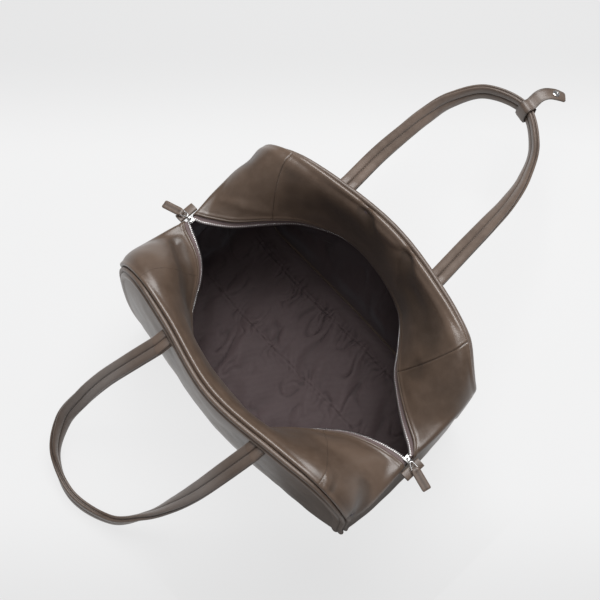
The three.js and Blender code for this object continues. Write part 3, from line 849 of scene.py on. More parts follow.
@dataclass(frozen=True)
class MetalFinish:
    """Polished nickel with faint scratches."""

    name: str
    colour: Colour = (0.70, 0.69, 0.68)
    roughness: float = 0.24
    dull: float = 0.72

    def make(self) -> Material:
        """The metal's material."""
        g = Graph(self.name)
        place = g.place()
        stretched = g.add(
            "ShaderNodeMapping", None, {"Vector": place, "Scale": (1.0, 9.0, 3.0)}
        ).outputs[0]
        scratch = g.noise(stretched, 900.0, 3.0, 0.7)
        smudge = g.noise(place, 240.0, 2.0)
        dull = scaled(self.colour, self.dull)
        tone = g.blend(smudge.between(0.3, 0.7) * 0.3, self.colour, dull)
        return g.finish({
            "Base Color": tone,
            "Metallic": 1.0,
            "Roughness": smudge * 0.14 + scratch * 0.1 + self.roughness - 0.1,
            "Normal": g.relief(scratch, 0.00002, 0.5),
        })


@dataclass(frozen=True)
class ThreadFinish:
    """Twisted sewing thread."""

    name: str
    colour: Colour

    def make(self) -> Material:
        """The thread's material."""
        g = Graph(self.name)
        place = g.place()
        twist = g.noise(place, 3200.0, 2.0)
        tone = g.blend(twist.between(0.3, 0.7), scaled(self.colour, 0.7), self.colour)
        return g.finish({
            "Base Color": tone,
            "Roughness": twist * 0.2 + 0.5,
            "Sheen Weight": 0.2,
            "Normal": g.relief(twist, 0.00008, 0.8),
        })


def made(finish: Union[LeatherFinish, ClothFinish, MetalFinish, ThreadFinish]) -> object:
    """A field for a finish's material, which is made with the others."""
    return field(default_factory=finish.make)


@dataclass(frozen=True)
class Finishes:
    """All finishes of the bag, made once."""

    leather: Material = made(
        LeatherFinish("bag_leather", (0.094, 0.062, 0.043), (0.160, 0.112, 0.083), 0.36)
    )
    strap: Material = made(
        LeatherFinish("strap_leather", (0.112, 0.079, 0.060), (0.195, 0.148, 0.117))
    )
    piping: Material = made(
        LeatherFinish("piping_leather", (0.112, 0.078, 0.058), (0.190, 0.143, 0.112))
    )
    lining: Material = made(ClothFinish("lining_twill", (0.070, 0.049, 0.050)))
    tape: Material = made(
        ClothFinish(
            "zip_tape", (0.140, 0.102, 0.100), yarns=4200.0, slant=0.0, roughness=0.62, sheen=0.2
        )
    )
    metal: Material = made(MetalFinish("nickel"))
    teeth: Material = made(MetalFinish("zip_teeth", (0.66, 0.65, 0.645), 0.36))
    thread: Material = made(ThreadFinish("thread", (0.17, 0.13, 0.105)))


@dataclass(frozen=True)
class Dress:
    """How a finished piece joins the frame."""

    slot: str
    material: Material
    nodes: tuple[str, ...] = ()

    def put_on(self, piece: Piece) -> Piece:
        """Gives a piece its material and body, logs its slot and hides the nodes that it stands
        for.

        Args:
            piece: Finished piece.

        Returns:
            The same piece.
        """
        piece.data.materials.clear()
        piece.data.materials.append(self.material)
        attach(piece, "root")
        if self.nodes:
            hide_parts(*self.nodes)
        LOG.info("%s: %d faces, %s", piece.name, len(piece.data.polygons), self.slot)
        return piece


# ---- the bag's shape

SPREAD: Table = (
    # share of the half length; front, back, front foot, back foot
    (-1.0, 0.104, 0.122, 0.116, 0.116),
    (-0.5, 0.120, 0.146, 0.117, 0.117),
    (0.0, 0.139, 0.155, 0.117, 0.117),
    (0.5, 0.128, 0.138, 0.114, 0.114),
    (1.0, 0.112, 0.105, 0.106, 0.108),
)
BACK_STRIP: Table = (
    # share; x, y, z of the opening edge; crown; lean in degrees
    (0.0, -0.206, -0.006, 0.190, 0.020, 20),
    (0.03, -0.197, -0.003, 0.192, 0.024, 22),
    (0.08, -0.178, 0.010, 0.190, 0.032, 28),
    (0.13, -0.156, 0.030, 0.187, 0.036, 34),
    (0.18, -0.129, 0.069, 0.181, 0.034, 42),
    (0.25, -0.104, 0.100, 0.174, 0.030, 56),
    (0.35, -0.058, 0.128, 0.165, 0.028, 70),
    (0.5, 0.0, 0.130, 0.160, 0.028, 74),
    (0.65, 0.058, 0.110, 0.164, 0.028, 70),
    (0.75, 0.092, 0.074, 0.173, 0.030, 56),
    (0.82, 0.112, 0.048, 0.180, 0.034, 42),
    (0.87, 0.140, 0.026, 0.185, 0.032, 36),
    (0.92, 0.168, 0.008, 0.189, 0.026, 30),
    (0.97, 0.196, -0.006, 0.194, 0.020, 22),
    (1.0, 0.208, -0.008, 0.192, 0.020, 20),
)
FRONT_STRIP: Table = (
    (0.0, -0.206, -0.006, 0.190, 0.020, 20),
    (0.03, -0.197, -0.008, 0.192, 0.024, 22),
    (0.08, -0.174, -0.015, 0.190, 0.032, 28),
    (0.13, -0.151, -0.026, 0.187, 0.036, 34),
    (0.18, -0.133, -0.042, 0.182, 0.034, 42),
    (0.25, -0.106, -0.080, 0.175, 0.030, 56),
    (0.35, -0.066, -0.109, 0.166, 0.028, 70),
    (0.5, -0.004, -0.113, 0.160, 0.028, 74),
    (0.65, 0.048, -0.111, 0.163, 0.028, 70),
    (0.75, 0.078, -0.082, 0.172, 0.030, 56),
    (0.82, 0.103, -0.058, 0.178, 0.034, 42),
    (0.87, 0.128, -0.037, 0.183, 0.036, 34),
    (0.92, 0.160, -0.021, 0.188, 0.032, 28),
    (0.97, 0.194, -0.012, 0.194, 0.026, 22),
    (1.0, 0.208, -0.008, 0.192, 0.020, 20),
)
FRONT_STRAP: Table = (
    # share; x, y, z of the middle line; turn in degrees from flat to on edge
    (0.0, -0.084, -0.141, 0.243, 0),
    (0.083, -0.104, -0.181, 0.202, 4),
    (0.167, -0.124, -0.213, 0.154, 12),
    (0.25, -0.140, -0.245, 0.104, 30),
    (0.333, -0.149, -0.283, 0.056, 58),
    (0.417, -0.128, -0.322, 0.021, 88),
    (0.5, -0.074, -0.338, 0.013, 106),
    (0.583, -0.015, -0.319, 0.020, 98),
    (0.667, 0.018, -0.281, 0.054, 72),
    (0.75, 0.039, -0.247, 0.100, 38),
    (0.833, 0.055, -0.216, 0.149, 14),
    (0.917, 0.068, -0.184, 0.200, 4),
    (1.0, 0.080, -0.142, 0.243, 0),
)
BACK_STRAP: Table = (
    (0.0, -0.086, 0.158, 0.243, 0),
    (0.083, -0.097, 0.219, 0.224, 6),
    (0.167, -0.106, 0.273, 0.199, 18),
    (0.25, -0.114, 0.327, 0.173, 38),
    (0.333, -0.116, 0.382, 0.149, 62),
    (0.417, -0.096, 0.436, 0.135, 80),
    (0.5, -0.043, 0.457, 0.132, 88),
    (0.583, 0.005, 0.424, 0.134, 80),
    (0.667, 0.032, 0.372, 0.148, 62),
    (0.75, 0.047, 0.318, 0.171, 38),
    (0.833, 0.056, 0.264, 0.197, 18),
    (0.917, 0.064, 0.210, 0.223, 6),
    (1.0, 0.072, 0.150, 0.243, 0),
)


@dataclass(frozen=True)
class Outline:
    """Places on the piping's outline, with their outward direction."""

    x: Array
    z: Array
    nx: Array
    nz: Array

    @property
    def away(self) -> Array:
        """Outward direction at each place, as vectors."""
        return np.stack([self.nx, np.zeros_like(self.nx), self.nz], -1)


@dataclass(frozen=True)
class BagForm:
    """Surfaces of the bag between its two pipings."""

    half_length: float = 0.200
    top: float = 0.256
    bottom: float = 0.014
    top_radius: float = 0.066
    bottom_radius: float = 0.040
    seam: float = 0.186
    belly: float = 0.009
    bulge: float = 0.008
    back_draw: float = 0.045
    back_draw_from: float = 0.4
    corner_draw: float = 0.013
    corner_from: float = 0.74
    end_bulge: tuple[float, float] = (0.009, 0.008)
    end_pinch: tuple[float, float] = (0.009, 0.003)
    pinch_high: float = 0.045
    pinch_wide: float = 0.16
    end_round: float = 2.4
    base_flat: float = 0.8
    zip_share: float = 0.455
    leather: float = 0.0018
    tape: float = 0.0007
    lining: float = 0.0008
    gap: float = 0.00045
    piping_radius: float = 0.003
    edge: float = 0.0035
    sewn: float = 0.00296
    seam_gap: float = 0.0001
    tape_shown: float = 0.008
    tape_shown_end: float = 0.005
    tape_wide: float = 0.013
    open_share: float = 0.06
    side_step: float = 0.0003

    @property
    def tape_level(self) -> float:
        """Depth of the tape's middle below the leather's middle."""
        return self.leather / 2 + self.gap + self.tape / 2

    @property
    def lining_level(self) -> float:
        """Depth of the lining's middle below the leather's middle."""
        return self.tape_level + self.tape / 2 + self.gap + self.lining / 2

    @property
    def middle(self) -> float:
        """Height of a panel's middle."""
        return (self.bottom + self.top) / 2

    def _runs(self) -> Array:
        """Pieces of the outline: length, centre or start, radius and first direction."""
        quarter = math.pi / 2
        side = self.top - self.top_radius - self.seam
        low = self.seam - self.bottom - self.bottom_radius
        cx, lx = self.half_length - self.top_radius, self.half_length - self.bottom_radius
        tz, bz = self.top - self.top_radius, self.bottom + self.bottom_radius
        turn_top, turn_low = self.top_radius * quarter, self.bottom_radius * quarter
        return np.array(
            [
                (side, -self.half_length, self.seam, 0, math.pi),
                (turn_top, -cx, tz, self.top_radius, math.pi),
                (2 * cx, -cx, self.top, 0, quarter),
                (turn_top, cx, tz, self.top_radius, quarter),
                (side + low, self.half_length, tz, 0, 0),
                (turn_low, lx, bz, self.bottom_radius, 0),
                (2 * lx, lx, self.bottom, 0, -quarter),
                (turn_low, -lx, bz, self.bottom_radius, -quarter),
                (low, -self.half_length, bz, 0, -math.pi),
            ]
        )

    @property
    def top_run(self) -> float:
        """Length of the outline from one end seam over the top to the other."""
        runs = self._runs()
        return float(2 * (runs[0, 0] + runs[1, 0]) + runs[2, 0])

    @property
    def whole_run(self) -> float:
        """Length of the whole outline."""
        return float(self._runs()[:, 0].sum())

    def outline(self, length: Array) -> Outline:
        """Places on the outline.

        Args:
            length: Lengths along it, clockwise from the left end seam.

        Returns:
            The places with their outward directions.
        """
        runs = self._runs()
        knots = np.concatenate([[0.0], np.cumsum(runs[:, 0])])
        s = np.mod(np.asarray(length, float), knots[-1])
        i = np.clip(np.searchsorted(knots, s, side="right") - 1, 0, len(runs) - 1)
        t = s - knots[i]
        cx, cz, radius, first = runs[i, 1], runs[i, 2], runs[i, 3], runs[i, 4]
        turn = first - np.where(radius > 0, t / np.maximum(radius, 1e-9), 0.0)
        straight = np.where(radius > 0, 0.0, t)
        nx, nz = np.cos(turn), np.sin(turn)
        return Outline(
            cx + radius * nx + straight * nz, cz + radius * nz - straight * nx, nx, nz
        )

    def depth(self, side: Side, x: Array, z: Array) -> Array:
        """Y of a panel's plane."""
        rise = np.clip((z - self.bottom) / (self.top - self.bottom), 0.0, 1.0)
        spread = read_rows(SPREAD, x / self.half_length)
        column = 0 if side is Side.FRONT else 1
        top = spread[..., column]
        if side is Side.BACK:
            past = (x / self.half_length - self.corner_from) / (1 - self.corner_from)
            top = top - self.corner_draw * smooth(past)
        plane = mix(spread[..., column + 2], top, rise)
        return side.value * (plane + self.belly * np.sin(math.pi * rise))

    def drawn(self, side: Side, x: Array) -> Array:
        """X after the back right corner has been drawn in."""
        if side is Side.FRONT:
            return x
        past = (x / self.half_length - self.back_draw_from) / (1 - self.back_draw_from)
        return x * (1 - self.back_draw * smooth(past))

    def piping(self, side: Side, length: Array) -> Array:
        """Points of a piping's middle line."""
        o = self.outline(length)
        return np.stack([self.drawn(side, o.x), self.depth(side, o.x, o.z), o.z], -1)

    def band(self, length: Array, share: Array) -> Array:
        """Closed gusset between the pipings.

        Args:
            length: Lengths along the outline.
            share: 0 at the front piping, 1 at the back piping.

        Returns:
            Points on the middle of the leather.
        """
        length, share = np.broadcast_arrays(np.asarray(length, float), share)
        o = self.outline(length)
        c = np.abs(2 * share - 1)
        left = o.nx < 0
        low = np.clip(-o.nz, 0.0, 1.0) ** 1.5
        near = hump(o.z, self.seam, self.pinch_high)
        middle = hump(share, self.zip_share, self.pinch_wide)
        pinch = np.where(left, *self.end_pinch) * near * middle
        rounded = np.where(left, *self.end_bulge) * (1 - c**self.end_round) - pinch * (1 - c)
        up = np.maximum(0.0, (c - self.base_flat) / (1 - self.base_flat))
        flat = (self.bottom - self.leather / 2) * (1 - up**2)
        out = mix(rounded, flat, low)
        line = mix(
            self.piping(Side.FRONT, length), self.piping(Side.BACK, length), share[..., None]
        )
        return line + o.away * out[..., None]

    def width(self, length: Array) -> Array:
        """Distance between the pipings at lengths along the outline."""
        gap = self.piping(Side.BACK, length) - self.piping(Side.FRONT, length)
        return np.linalg.norm(gap, axis=1)

    def strip(self, side: Side, share: Array, w: Array) -> Array:
        """Top strip between a piping and the zip's opening edge.

        Args:
            side: Front or back.
            share: Share along the strip from the left end seam.
            w: 0 at the piping, 1 at the opening edge.

        Returns:
            Points on the middle of the leather.
        """
        share, w = np.broadcast_arrays(np.asarray(share, float), w)
        rows = read_rows(FRONT_STRIP if side is Side.FRONT else BACK_STRIP, share)
        length = share * self.top_run
        o = self.outline(length)
        a = self.piping(side, length)
        s = side.value
        edge = rows[..., :3] + np.array([0.0, s * self.side_step, 0.0])
        crown, lean = rows[..., 3:4], np.radians(rows[..., 4])
        rise = np.stack(
            [o.nx * np.cos(lean), -s * np.sin(lean), o.nz * np.cos(lean)], -1
        )
        first = a + rise * crown
        second = mix(edge, a, 0.3) + rise * crown * 0.35
        t = w[..., None]
        k = 1 - t
        opened = a * k**3 + first * (3 * k * k * t) + second * (3 * k * t * t) + edge * t**3
        q = w * self.zip_share if side is Side.FRONT else 1 - w * (1 - self.zip_share)
        shut = self.band(length, q)
        shut[..., 1] += s * self.side_step * w
        return mix(shut, opened, self.open_part(share)[..., None])

    def open_part(self, share: Array) -> Array:
        """How far the zip is open, from 0 at its ends to 1."""
        return smooth(np.minimum(share, 1 - share) / self.open_share)


FORM = BagForm()


@dataclass(frozen=True)
class Fold:
    """A soft ridge or valley in a sheet, from one place on it to another."""

    start: tuple[float, float]
    end: tuple[float, float]
    height: float
    width: float
    spread: float
    fade: float = 0.75

    def on(self, u: Array, v: Array) -> Array:
        """Height of the fold at places of the sheet.

        Args:
            u: First coordinate of the places.
            v: Second coordinate of the places.

        Returns:
            Heights in metres.
        """
        du, dv = self.end[0] - self.start[0], self.end[1] - self.start[1]
        long = du * du + dv * dv
        t = ((u - self.start[0]) * du + (v - self.start[1]) * dv) / long
        held = np.clip(t, 0.0, 1.0)
        away = np.hypot(u - self.start[0] - held * du, v - self.start[1] - held * dv)
        wide = mix(self.width, self.spread, held)
        strength = self.height * (1 - self.fade * smooth(held))
        return strength * np.exp(-((away / wide) ** 2))


# height, distance from the edge and half width of ridges and grooves, in millimetres
SEAM_BEAD: Table = ((1.9, 6.9, 2.7), (-1.9, 2.8, 1.5), (-0.25, 11.5, 2.4))
BUTT_EDGE: Table = ((0.28, 1.9, 1.2), (-0.6, 0.0, 0.55))
TURNED_EDGE: Table = ((-0.5, 3.0, 0.55), (-0.9, -0.2, 0.8))
FLOOR_FOLD: Table = ((1.1, 2.4, 1.8), (0.7, -2.6, 2.0), (-1.0, 0.0, 0.9))
TURNED_UNDER = 7.0
TURNED_STEP = 0.55


def ridges(distance: Array, rows: Table) -> Array:
    """Relief that runs along an edge or a seam.

    Args:
        distance: Distances from the edge.
        rows: Ridges and grooves, in millimetres.

    Returns:
        Heights in metres.
    """
    return MM * sum(high * hump(distance / MM, off, half) for high, off, half in rows)


def turned_edge(distance: Array) -> Array:
    """Folded and stitched leather edge along the zip."""
    doubled = smooth((TURNED_UNDER - distance / MM) / 1.2)
    return MM * TURNED_STEP * doubled + ridges(distance, TURNED_EDGE)


NEAR_SEAM = np.array([0, 0.6, 1.2, 1.8, 2.5, 3.2, 4.0, 5.0, 6.0, 7.0, 8.2, 9.6, 11.5, 14.0]) * MM
NEAR_CUT = np.array([0, 0.5, 1.0, 1.6, 2.3, 3.1, 4.2, 5.8, 8.0]) * MM
NEAR_ZIP = np.array([0, 0.35, 0.8, 1.4, 2.1, 2.6, 3.0, 3.4, 4.0, 5.0, 6.2, 7.4, 9.0, 11.5]) * MM

FRONT_FOLDS: tuple[Fold, ...] = (
    # valley beside the zip at the left end, and the full part outside it
    Fold((0.043, 0.083), (0.104, 0.080), -0.0050, 0.0075, 0.018, 0.2),
    Fold((0.050, 0.048), (0.095, 0.040), 0.0020, 0.018, 0.020, 0.5),
    # pucker at the foot of the right cross seam
    Fold((0.4036, 0.0098), (0.3965, 0.028), 0.0010, 0.0026, 0.0045, 0.6),
    Fold((0.4100, 0.0100), (0.4045, 0.030), -0.0013, 0.0030, 0.0060, 0.6),
    # full part and dark crease at the right end
    Fold((0.395, 0.085), (0.441, 0.085), 0.0022, 0.014, 0.016, 0.3),
    Fold((0.458, 0.010), (0.440, 0.050), -0.0042, 0.0055, 0.013, 0.6),
    # slack of the middle
    Fold((0.150, 0.040), (0.230, 0.052), 0.0016, 0.012, 0.014, 0.4),
    Fold((0.285, 0.050), (0.345, 0.060), -0.0018, 0.010, 0.015, 0.5),
)
BACK_FOLDS: tuple[Fold, ...] = (
    # valleys that run down from the two kinks
    Fold((0.1980, 0.0125), (0.2270, 0.0400), -0.0040, 0.0080, 0.017, 0.4),
    Fold((0.2750, 0.0135), (0.2950, 0.0480), -0.0040, 0.0080, 0.017, 0.4),
    # dents at the right cross seam
    Fold((0.396, 0.078), (0.405, 0.095), -0.0012, 0.007, 0.010, 0.3),
    Fold((0.409, 0.097), (0.428, 0.078), 0.0012, 0.007, 0.010, 0.5),
    # soft step along the zip, and a waist and a full corner at the left end
    Fold((0.040, 0.096), (0.082, 0.094), 0.0013, 0.005, 0.008, 0.4),
    Fold((0.006, 0.032), (0.040, 0.034), -0.0062, 0.012, 0.014, 0.5),
    Fold((0.034, 0.010), (0.070, 0.010), 0.0026, 0.009, 0.010, 0.4),
    Fold((0.150, 0.045), (0.240, 0.060), -0.0016, 0.014, 0.018, 0.4),
    # hollow below the shelf towards the right cross seam
    Fold((0.310, 0.040), (0.360, 0.048), -0.0040, 0.016, 0.020, 0.4),
)
END_WAIST = Fold((0.0, 0.032), (0.06, 0.040), -0.0062, 0.012, 0.018, 0.8)
BACK_SHELF: Table = (
    # length along the strip; width of the flat part beside the piping, its height
    (0.000, 0.0060, 0.0),
    (0.070, 0.0070, 0.0),
    (0.100, 0.0095, 0.0012),
    (0.130, 0.0110, 0.0022),
    (0.1455, 0.0105, 0.0026),
    (0.164, 0.0094, 0.0028),
    (0.182, 0.0080, 0.0028),
    (0.190, 0.0045, 0.0024),
    (0.197, 0.0040, 0.0020),
    (0.210, 0.0090, 0.0024),
    (0.222, 0.0195, 0.0030),
    (0.2325, 0.0195, 0.0032),
    (0.250, 0.0170, 0.0032),
    (0.2634, 0.0118, 0.0030),
    (0.269, 0.0060, 0.0026),
    (0.274, 0.0050, 0.0020),
    (0.282, 0.0105, 0.0024),
    (0.299, 0.0180, 0.0030),
    (0.326, 0.0172, 0.0028),
    (0.347, 0.0176, 0.0024),
    (0.374, 0.0212, 0.0018),
    (0.420, 0.0260, 0.0),
    (0.500, 0.0260, 0.0),
)
SEAM_STRENGTH: dict[tuple[Side, str], tuple[float, float]] = {
    # how far the seams at the start and the end of each piece of strip stand out
    (Side.FRONT, "left"): (1.0, 0.0),
    (Side.FRONT, "middle"): (0.0, 0.25),
    (Side.FRONT, "right"): (0.25, 1.0),
    (Side.BACK, "left"): (1.0, 0.9),
    (Side.BACK, "middle"): (0.9, 0.9),
    (Side.BACK, "right"): (0.9, 1.0),
}


def shelf(length: Array, distance: Array) -> Array:
    """Flat part of the back strip beside its piping, which kinks in two places.

    Args:
        length: Lengths along the strip.
        distance: Distances from the piping.

    Returns:
        Heights in metres.
    """
    rows = np.asarray(BACK_SHELF)
    wide = np.interp(length, rows[:, 0], rows[:, 1])
    high = np.interp(length, rows[:, 0], rows[:, 2])
    slope = 0.0045 + 0.42 * wide
    inside = 1 - smooth((distance - wide + slope / 2) / slope)
    return high * inside * smooth((distance - 0.0015) / 0.004)


@dataclass
class StripCourse:
    """A top strip measured out along and across."""

    side: Side
    shares: Array
    form: BagForm = FORM

    def __post_init__(self) -> None:
        """Measures the strip across at each share."""
        self.samples = np.linspace(0.0, 1.0, 161)
        self.across = self.form.strip(self.side, self.shares[:, None], self.samples[None, :])
        steps = np.linalg.norm(np.diff(self.across, axis=1), axis=2)
        zero = np.zeros((len(self.shares), 1))
        self.run = np.concatenate([zero, np.cumsum(steps, axis=1)], axis=1)

    @property
    def wide(self) -> Array:
        """Width of the strip at each share, from piping to opening edge."""
        return self.run[:, -1:]

    @property
    def shown(self) -> Array:
        """Width of the tape that shows at each share."""
        f = self.form
        return mix(f.tape_shown_end, f.tape_shown, f.open_part(self.shares))[:, None]

    def points(self, distance: Array) -> Array:
        """Points at distances from the piping.

        Args:
            distance: Distances, a row for each share.

        Returns:
            Points on the middle of the leather.
        """
        w = np.stack([np.interp(d, r, self.samples) for d, r in zip(distance, self.run)])
        return self.form.strip(self.side, self.shares[:, None], w)


@dataclass
class LeatherShell:
    """Leather panels, top strips and lower gusset."""

    finishes: Finishes
    form: BagForm = FORM
    cross_seam: float = 0.18
    waver: float = 0.0012

    def build(self) -> None:
        """Makes all leather sheets of the shell."""
        for side in Side:
            self.panel(side)
            for name, start, end in (
                ("left", 0.0, self.cross_seam),
                ("middle", self.cross_seam, 1 - self.cross_seam),
                ("right", 1 - self.cross_seam, 1.0),
            ):
                self.strip(side, name, start, end)
        self.lower_gusset()

    def _wave(self, points: Array, seed: float) -> Array:
        """Slow unevenness of soft leather."""
        broad, fine = cloud(points, 0.05, seed), cloud(points, 0.018, seed)
        return self.waver * broad + 0.3 * self.waver * fine

    def _reach(self, lengths: Array, wide: Array) -> Array:
        """Distance along the gusset at which it leaves the piping.

        Args:
            lengths: Lengths along the outline.
            wide: Distance between the pipings at each length.

        Returns:
            The distances, as a column.
        """
        steps = np.linspace(0.0, 0.005, 26)
        points = self.form.band(lengths[:, None], steps[None, :] / wide[:, None])
        gone = np.linalg.norm(points - points[:, :1], axis=2)
        found = [np.interp(self.form.sewn, line, steps) for line in gone]
        return np.array(found)[:, None]

    def strip(self, side: Side, name: str, start: float, end: float) -> None:
        """Makes one piece of a top strip.

        Args:
            side: Front or back.
            name: Left, middle or right.
            start: Share at which the piece starts.
            end: Share at which it ends.
        """
        f = self.form
        gap = f.seam_gap / f.top_run
        length = (end - start - 2 * gap) * f.top_run
        along = stations(length, NEAR_CUT, 0.0022)
        shares = start + gap + along / f.top_run
        course = StripCourse(side, shares)
        last = course.wide - course.shown
        near = f.sewn + NEAR_SEAM[None, :] + np.zeros_like(last)
        far = last - NEAR_ZIP[None, ::-1]
        share = np.linspace(0, 1, 46)[None, 1:-1]
        distance = np.concatenate([near, mix(near[:, -1:], far[:, :1], share), far], axis=1)
        points = course.points(distance)
        out = facing(points, -side.value)
        s = shares[:, None] * f.top_run + np.zeros_like(distance)
        first, second = SEAM_STRENGTH[side, name]
        cuts = first * ridges(along, BUTT_EDGE) + second * ridges(length - along, BUTT_EDGE)
        relief = ridges(distance, SEAM_BEAD) + cuts[:, None] + turned_edge(last - distance)
        calm = smooth((distance - 0.012) / 0.02) * smooth((last - distance) / 0.015)
        rim = np.minimum(shares, 1 - shares)[:, None] * f.top_run
        calm = calm * smooth((rim - 0.002) / 0.025)
        relief = relief + calm * self._wave(points, 3.1 * side.value)
        if side is Side.BACK:
            relief = relief + shelf(s, distance)
        for fold in FRONT_FOLDS if side is Side.FRONT else BACK_FOLDS:
            relief = relief + fold.on(s, distance) * smooth((last - distance) / 0.02)
        piece = Sheet(
            f"{side.word}_top_strip_{name}", points + out * (relief + f.leather / 2)[..., None],
            weave=np.stack([s, distance], -1), crest=stands_out(relief), outward=side.value,
            thick=f.leather,
        ).lay()
        Dress("leather", self.finishes.leather, (f"{side.word}_strip_{name}",)).put_on(piece)

    def panel(self, side: Side) -> None:
        """Makes the front or the back panel."""
        points, inset = panel_points(self.form, side, self.form.sewn, NEAR_SEAM)
        out = panel_facing(points, side)
        relief = ridges(inset, SEAM_BEAD)
        calm = smooth((inset - 0.012) / 0.03)
        relief = relief + calm * self._wave(points, 7.7 * side.value) * 1.6
        piece = Sheet(
            f"{side.word}_panel_leather",
            points + out * (relief + self.form.leather / 2)[..., None], weave=points[..., [0, 2]],
            crest=stands_out(relief), outward=side.value, closed=True, thick=self.form.leather,
        ).lay()
        Dress("leather", self.finishes.leather, (f"{side.word}_panel",)).put_on(piece)

    def lower_gusset(self) -> None:
        """Makes the ends and the base."""
        f = self.form
        low_run = f.whole_run - f.top_run
        along = stations(low_run - 2 * f.seam_gap, NEAR_CUT, 0.003) + f.seam_gap
        lengths = along + f.top_run
        wide = f.width(lengths)
        share = np.linspace(0, 1, 66)[None, 1:-1]
        first = self._reach(lengths, wide) + NEAR_SEAM[None, :]
        last = wide[:, None] - first[:, ::-1]
        distance = np.concatenate([first, mix(first[:, -1:], last[:, :1], share), last], axis=1)
        points = f.band(lengths[:, None], distance / wide[:, None])
        out = facing(points, 1.0)
        seam = np.minimum(distance, wide[:, None] - distance)
        rim = np.minimum(along, low_run - along)[:, None]
        relief = ridges(seam, SEAM_BEAD) + ridges(rim, BUTT_EDGE)
        o = f.outline(lengths)
        off_floor = smooth((o.nz[:, None] + 0.98) / 0.3)
        calm = smooth((seam - 0.012) / 0.03) * off_floor
        relief = np.where(off_floor > 0.02, relief, np.minimum(relief, 0.0))
        calm = calm * smooth((rim - 0.002) / 0.025)
        relief = relief + calm * self._wave(points, 12.3) * 1.5
        left = np.clip(-o.nx[:, None], 0.0, 1.0)
        behind = low_run - along[:, None] + 0 * distance
        relief = relief + left * END_WAIST.on(behind, wide[:, None] - distance)
        piece = Sheet(
            "ends_and_base_leather", points + out * (relief + f.leather / 2)[..., None],
            weave=np.stack([along[:, None] + np.zeros_like(distance), distance], -1),
            crest=stands_out(relief), outward=-1.0, thick=f.leather,
        ).lay()
        Dress("leather", self.finishes.leather, ("lower_gusset",)).put_on(piece)


def panel_facing(points: Array, side: Side) -> Array:
    """Outward normals of the points of a panel."""
    out = facing(points, 1.0)
    return out * np.sign(out[..., 1:2] * side.value)


def panel_points(form: BagForm, side: Side, start: float, near: Array) -> tuple[Array, Array]:
    """Grid over a panel, from its rim to its middle.

    Args:
        form: Shape of the bag.
        side: Front or back.
        start: Inset of the rim from the piping's middle line.
        near: Distances from the rim that are kept close together.

    Returns:
        The points of the grid and how far each lies from the piping.
    """
    count = 320
    lengths = np.linspace(0.0, form.whole_run, count + 1)
    o = form.outline(lengths)
    inset = np.concatenate([start + near, start + np.array([0.018, 0.022, 0.026])])
    x = o.x[:, None] - o.nx[:, None] * inset
    z = o.z[:, None] - o.nz[:, None] * inset
    inner = np.linspace(1.0, 0.0, 30)[None, 1:]
    x = np.concatenate([x, x[:, -1:] * inner], axis=1)
    z = np.concatenate([z, form.middle + (z[:, -1:] - form.middle) * inner], axis=1)
    half = form.top - form.edge - form.middle
    rho = 1 - (inset - form.edge) / half
    rho = np.concatenate([rho, rho[-1] * inner[0]])
    gone = np.concatenate([inset, form.edge + half * (1 - rho[len(inset):])])
    bulge = form.bulge * (1 - rho**2)
    y = form.depth(side, x, z) + side.value * bulge[None, :]
    points = np.stack([form.drawn(side, x), y, z], -1)
    points[-1] = points[0]
    return points, gone[None, :] + np.zeros_like(x)


@dataclass
class Piping:
    """Round cord covered in leather, in the seam of a panel."""

    finishes: Finishes
    form: BagForm = FORM
    places: int = 420
    around: int = 14

    def build(self) -> None:
        """Makes both pipings."""
        for side in Side:
            lengths = np.arange(self.places) * self.form.whole_run / self.places
            path = self.form.piping(side, lengths)
            o = self.form.outline(lengths)
            level = everywhere((0, side.value, 0), path)
            swell = 1 + 0.05 * cloud(path, 0.006, 5.0)
            section = ellipse(self.form.piping_radius, self.form.piping_radius, self.around)
            rings = section[None] * swell[:, None, None]
            piece = tube(f"{side.word}_piping_cord", path, o.away, level, rings, looped=True)
            Dress("piping", self.finishes.piping, (f"{side.word}_piping",)).put_on(piece)


# ---- lining


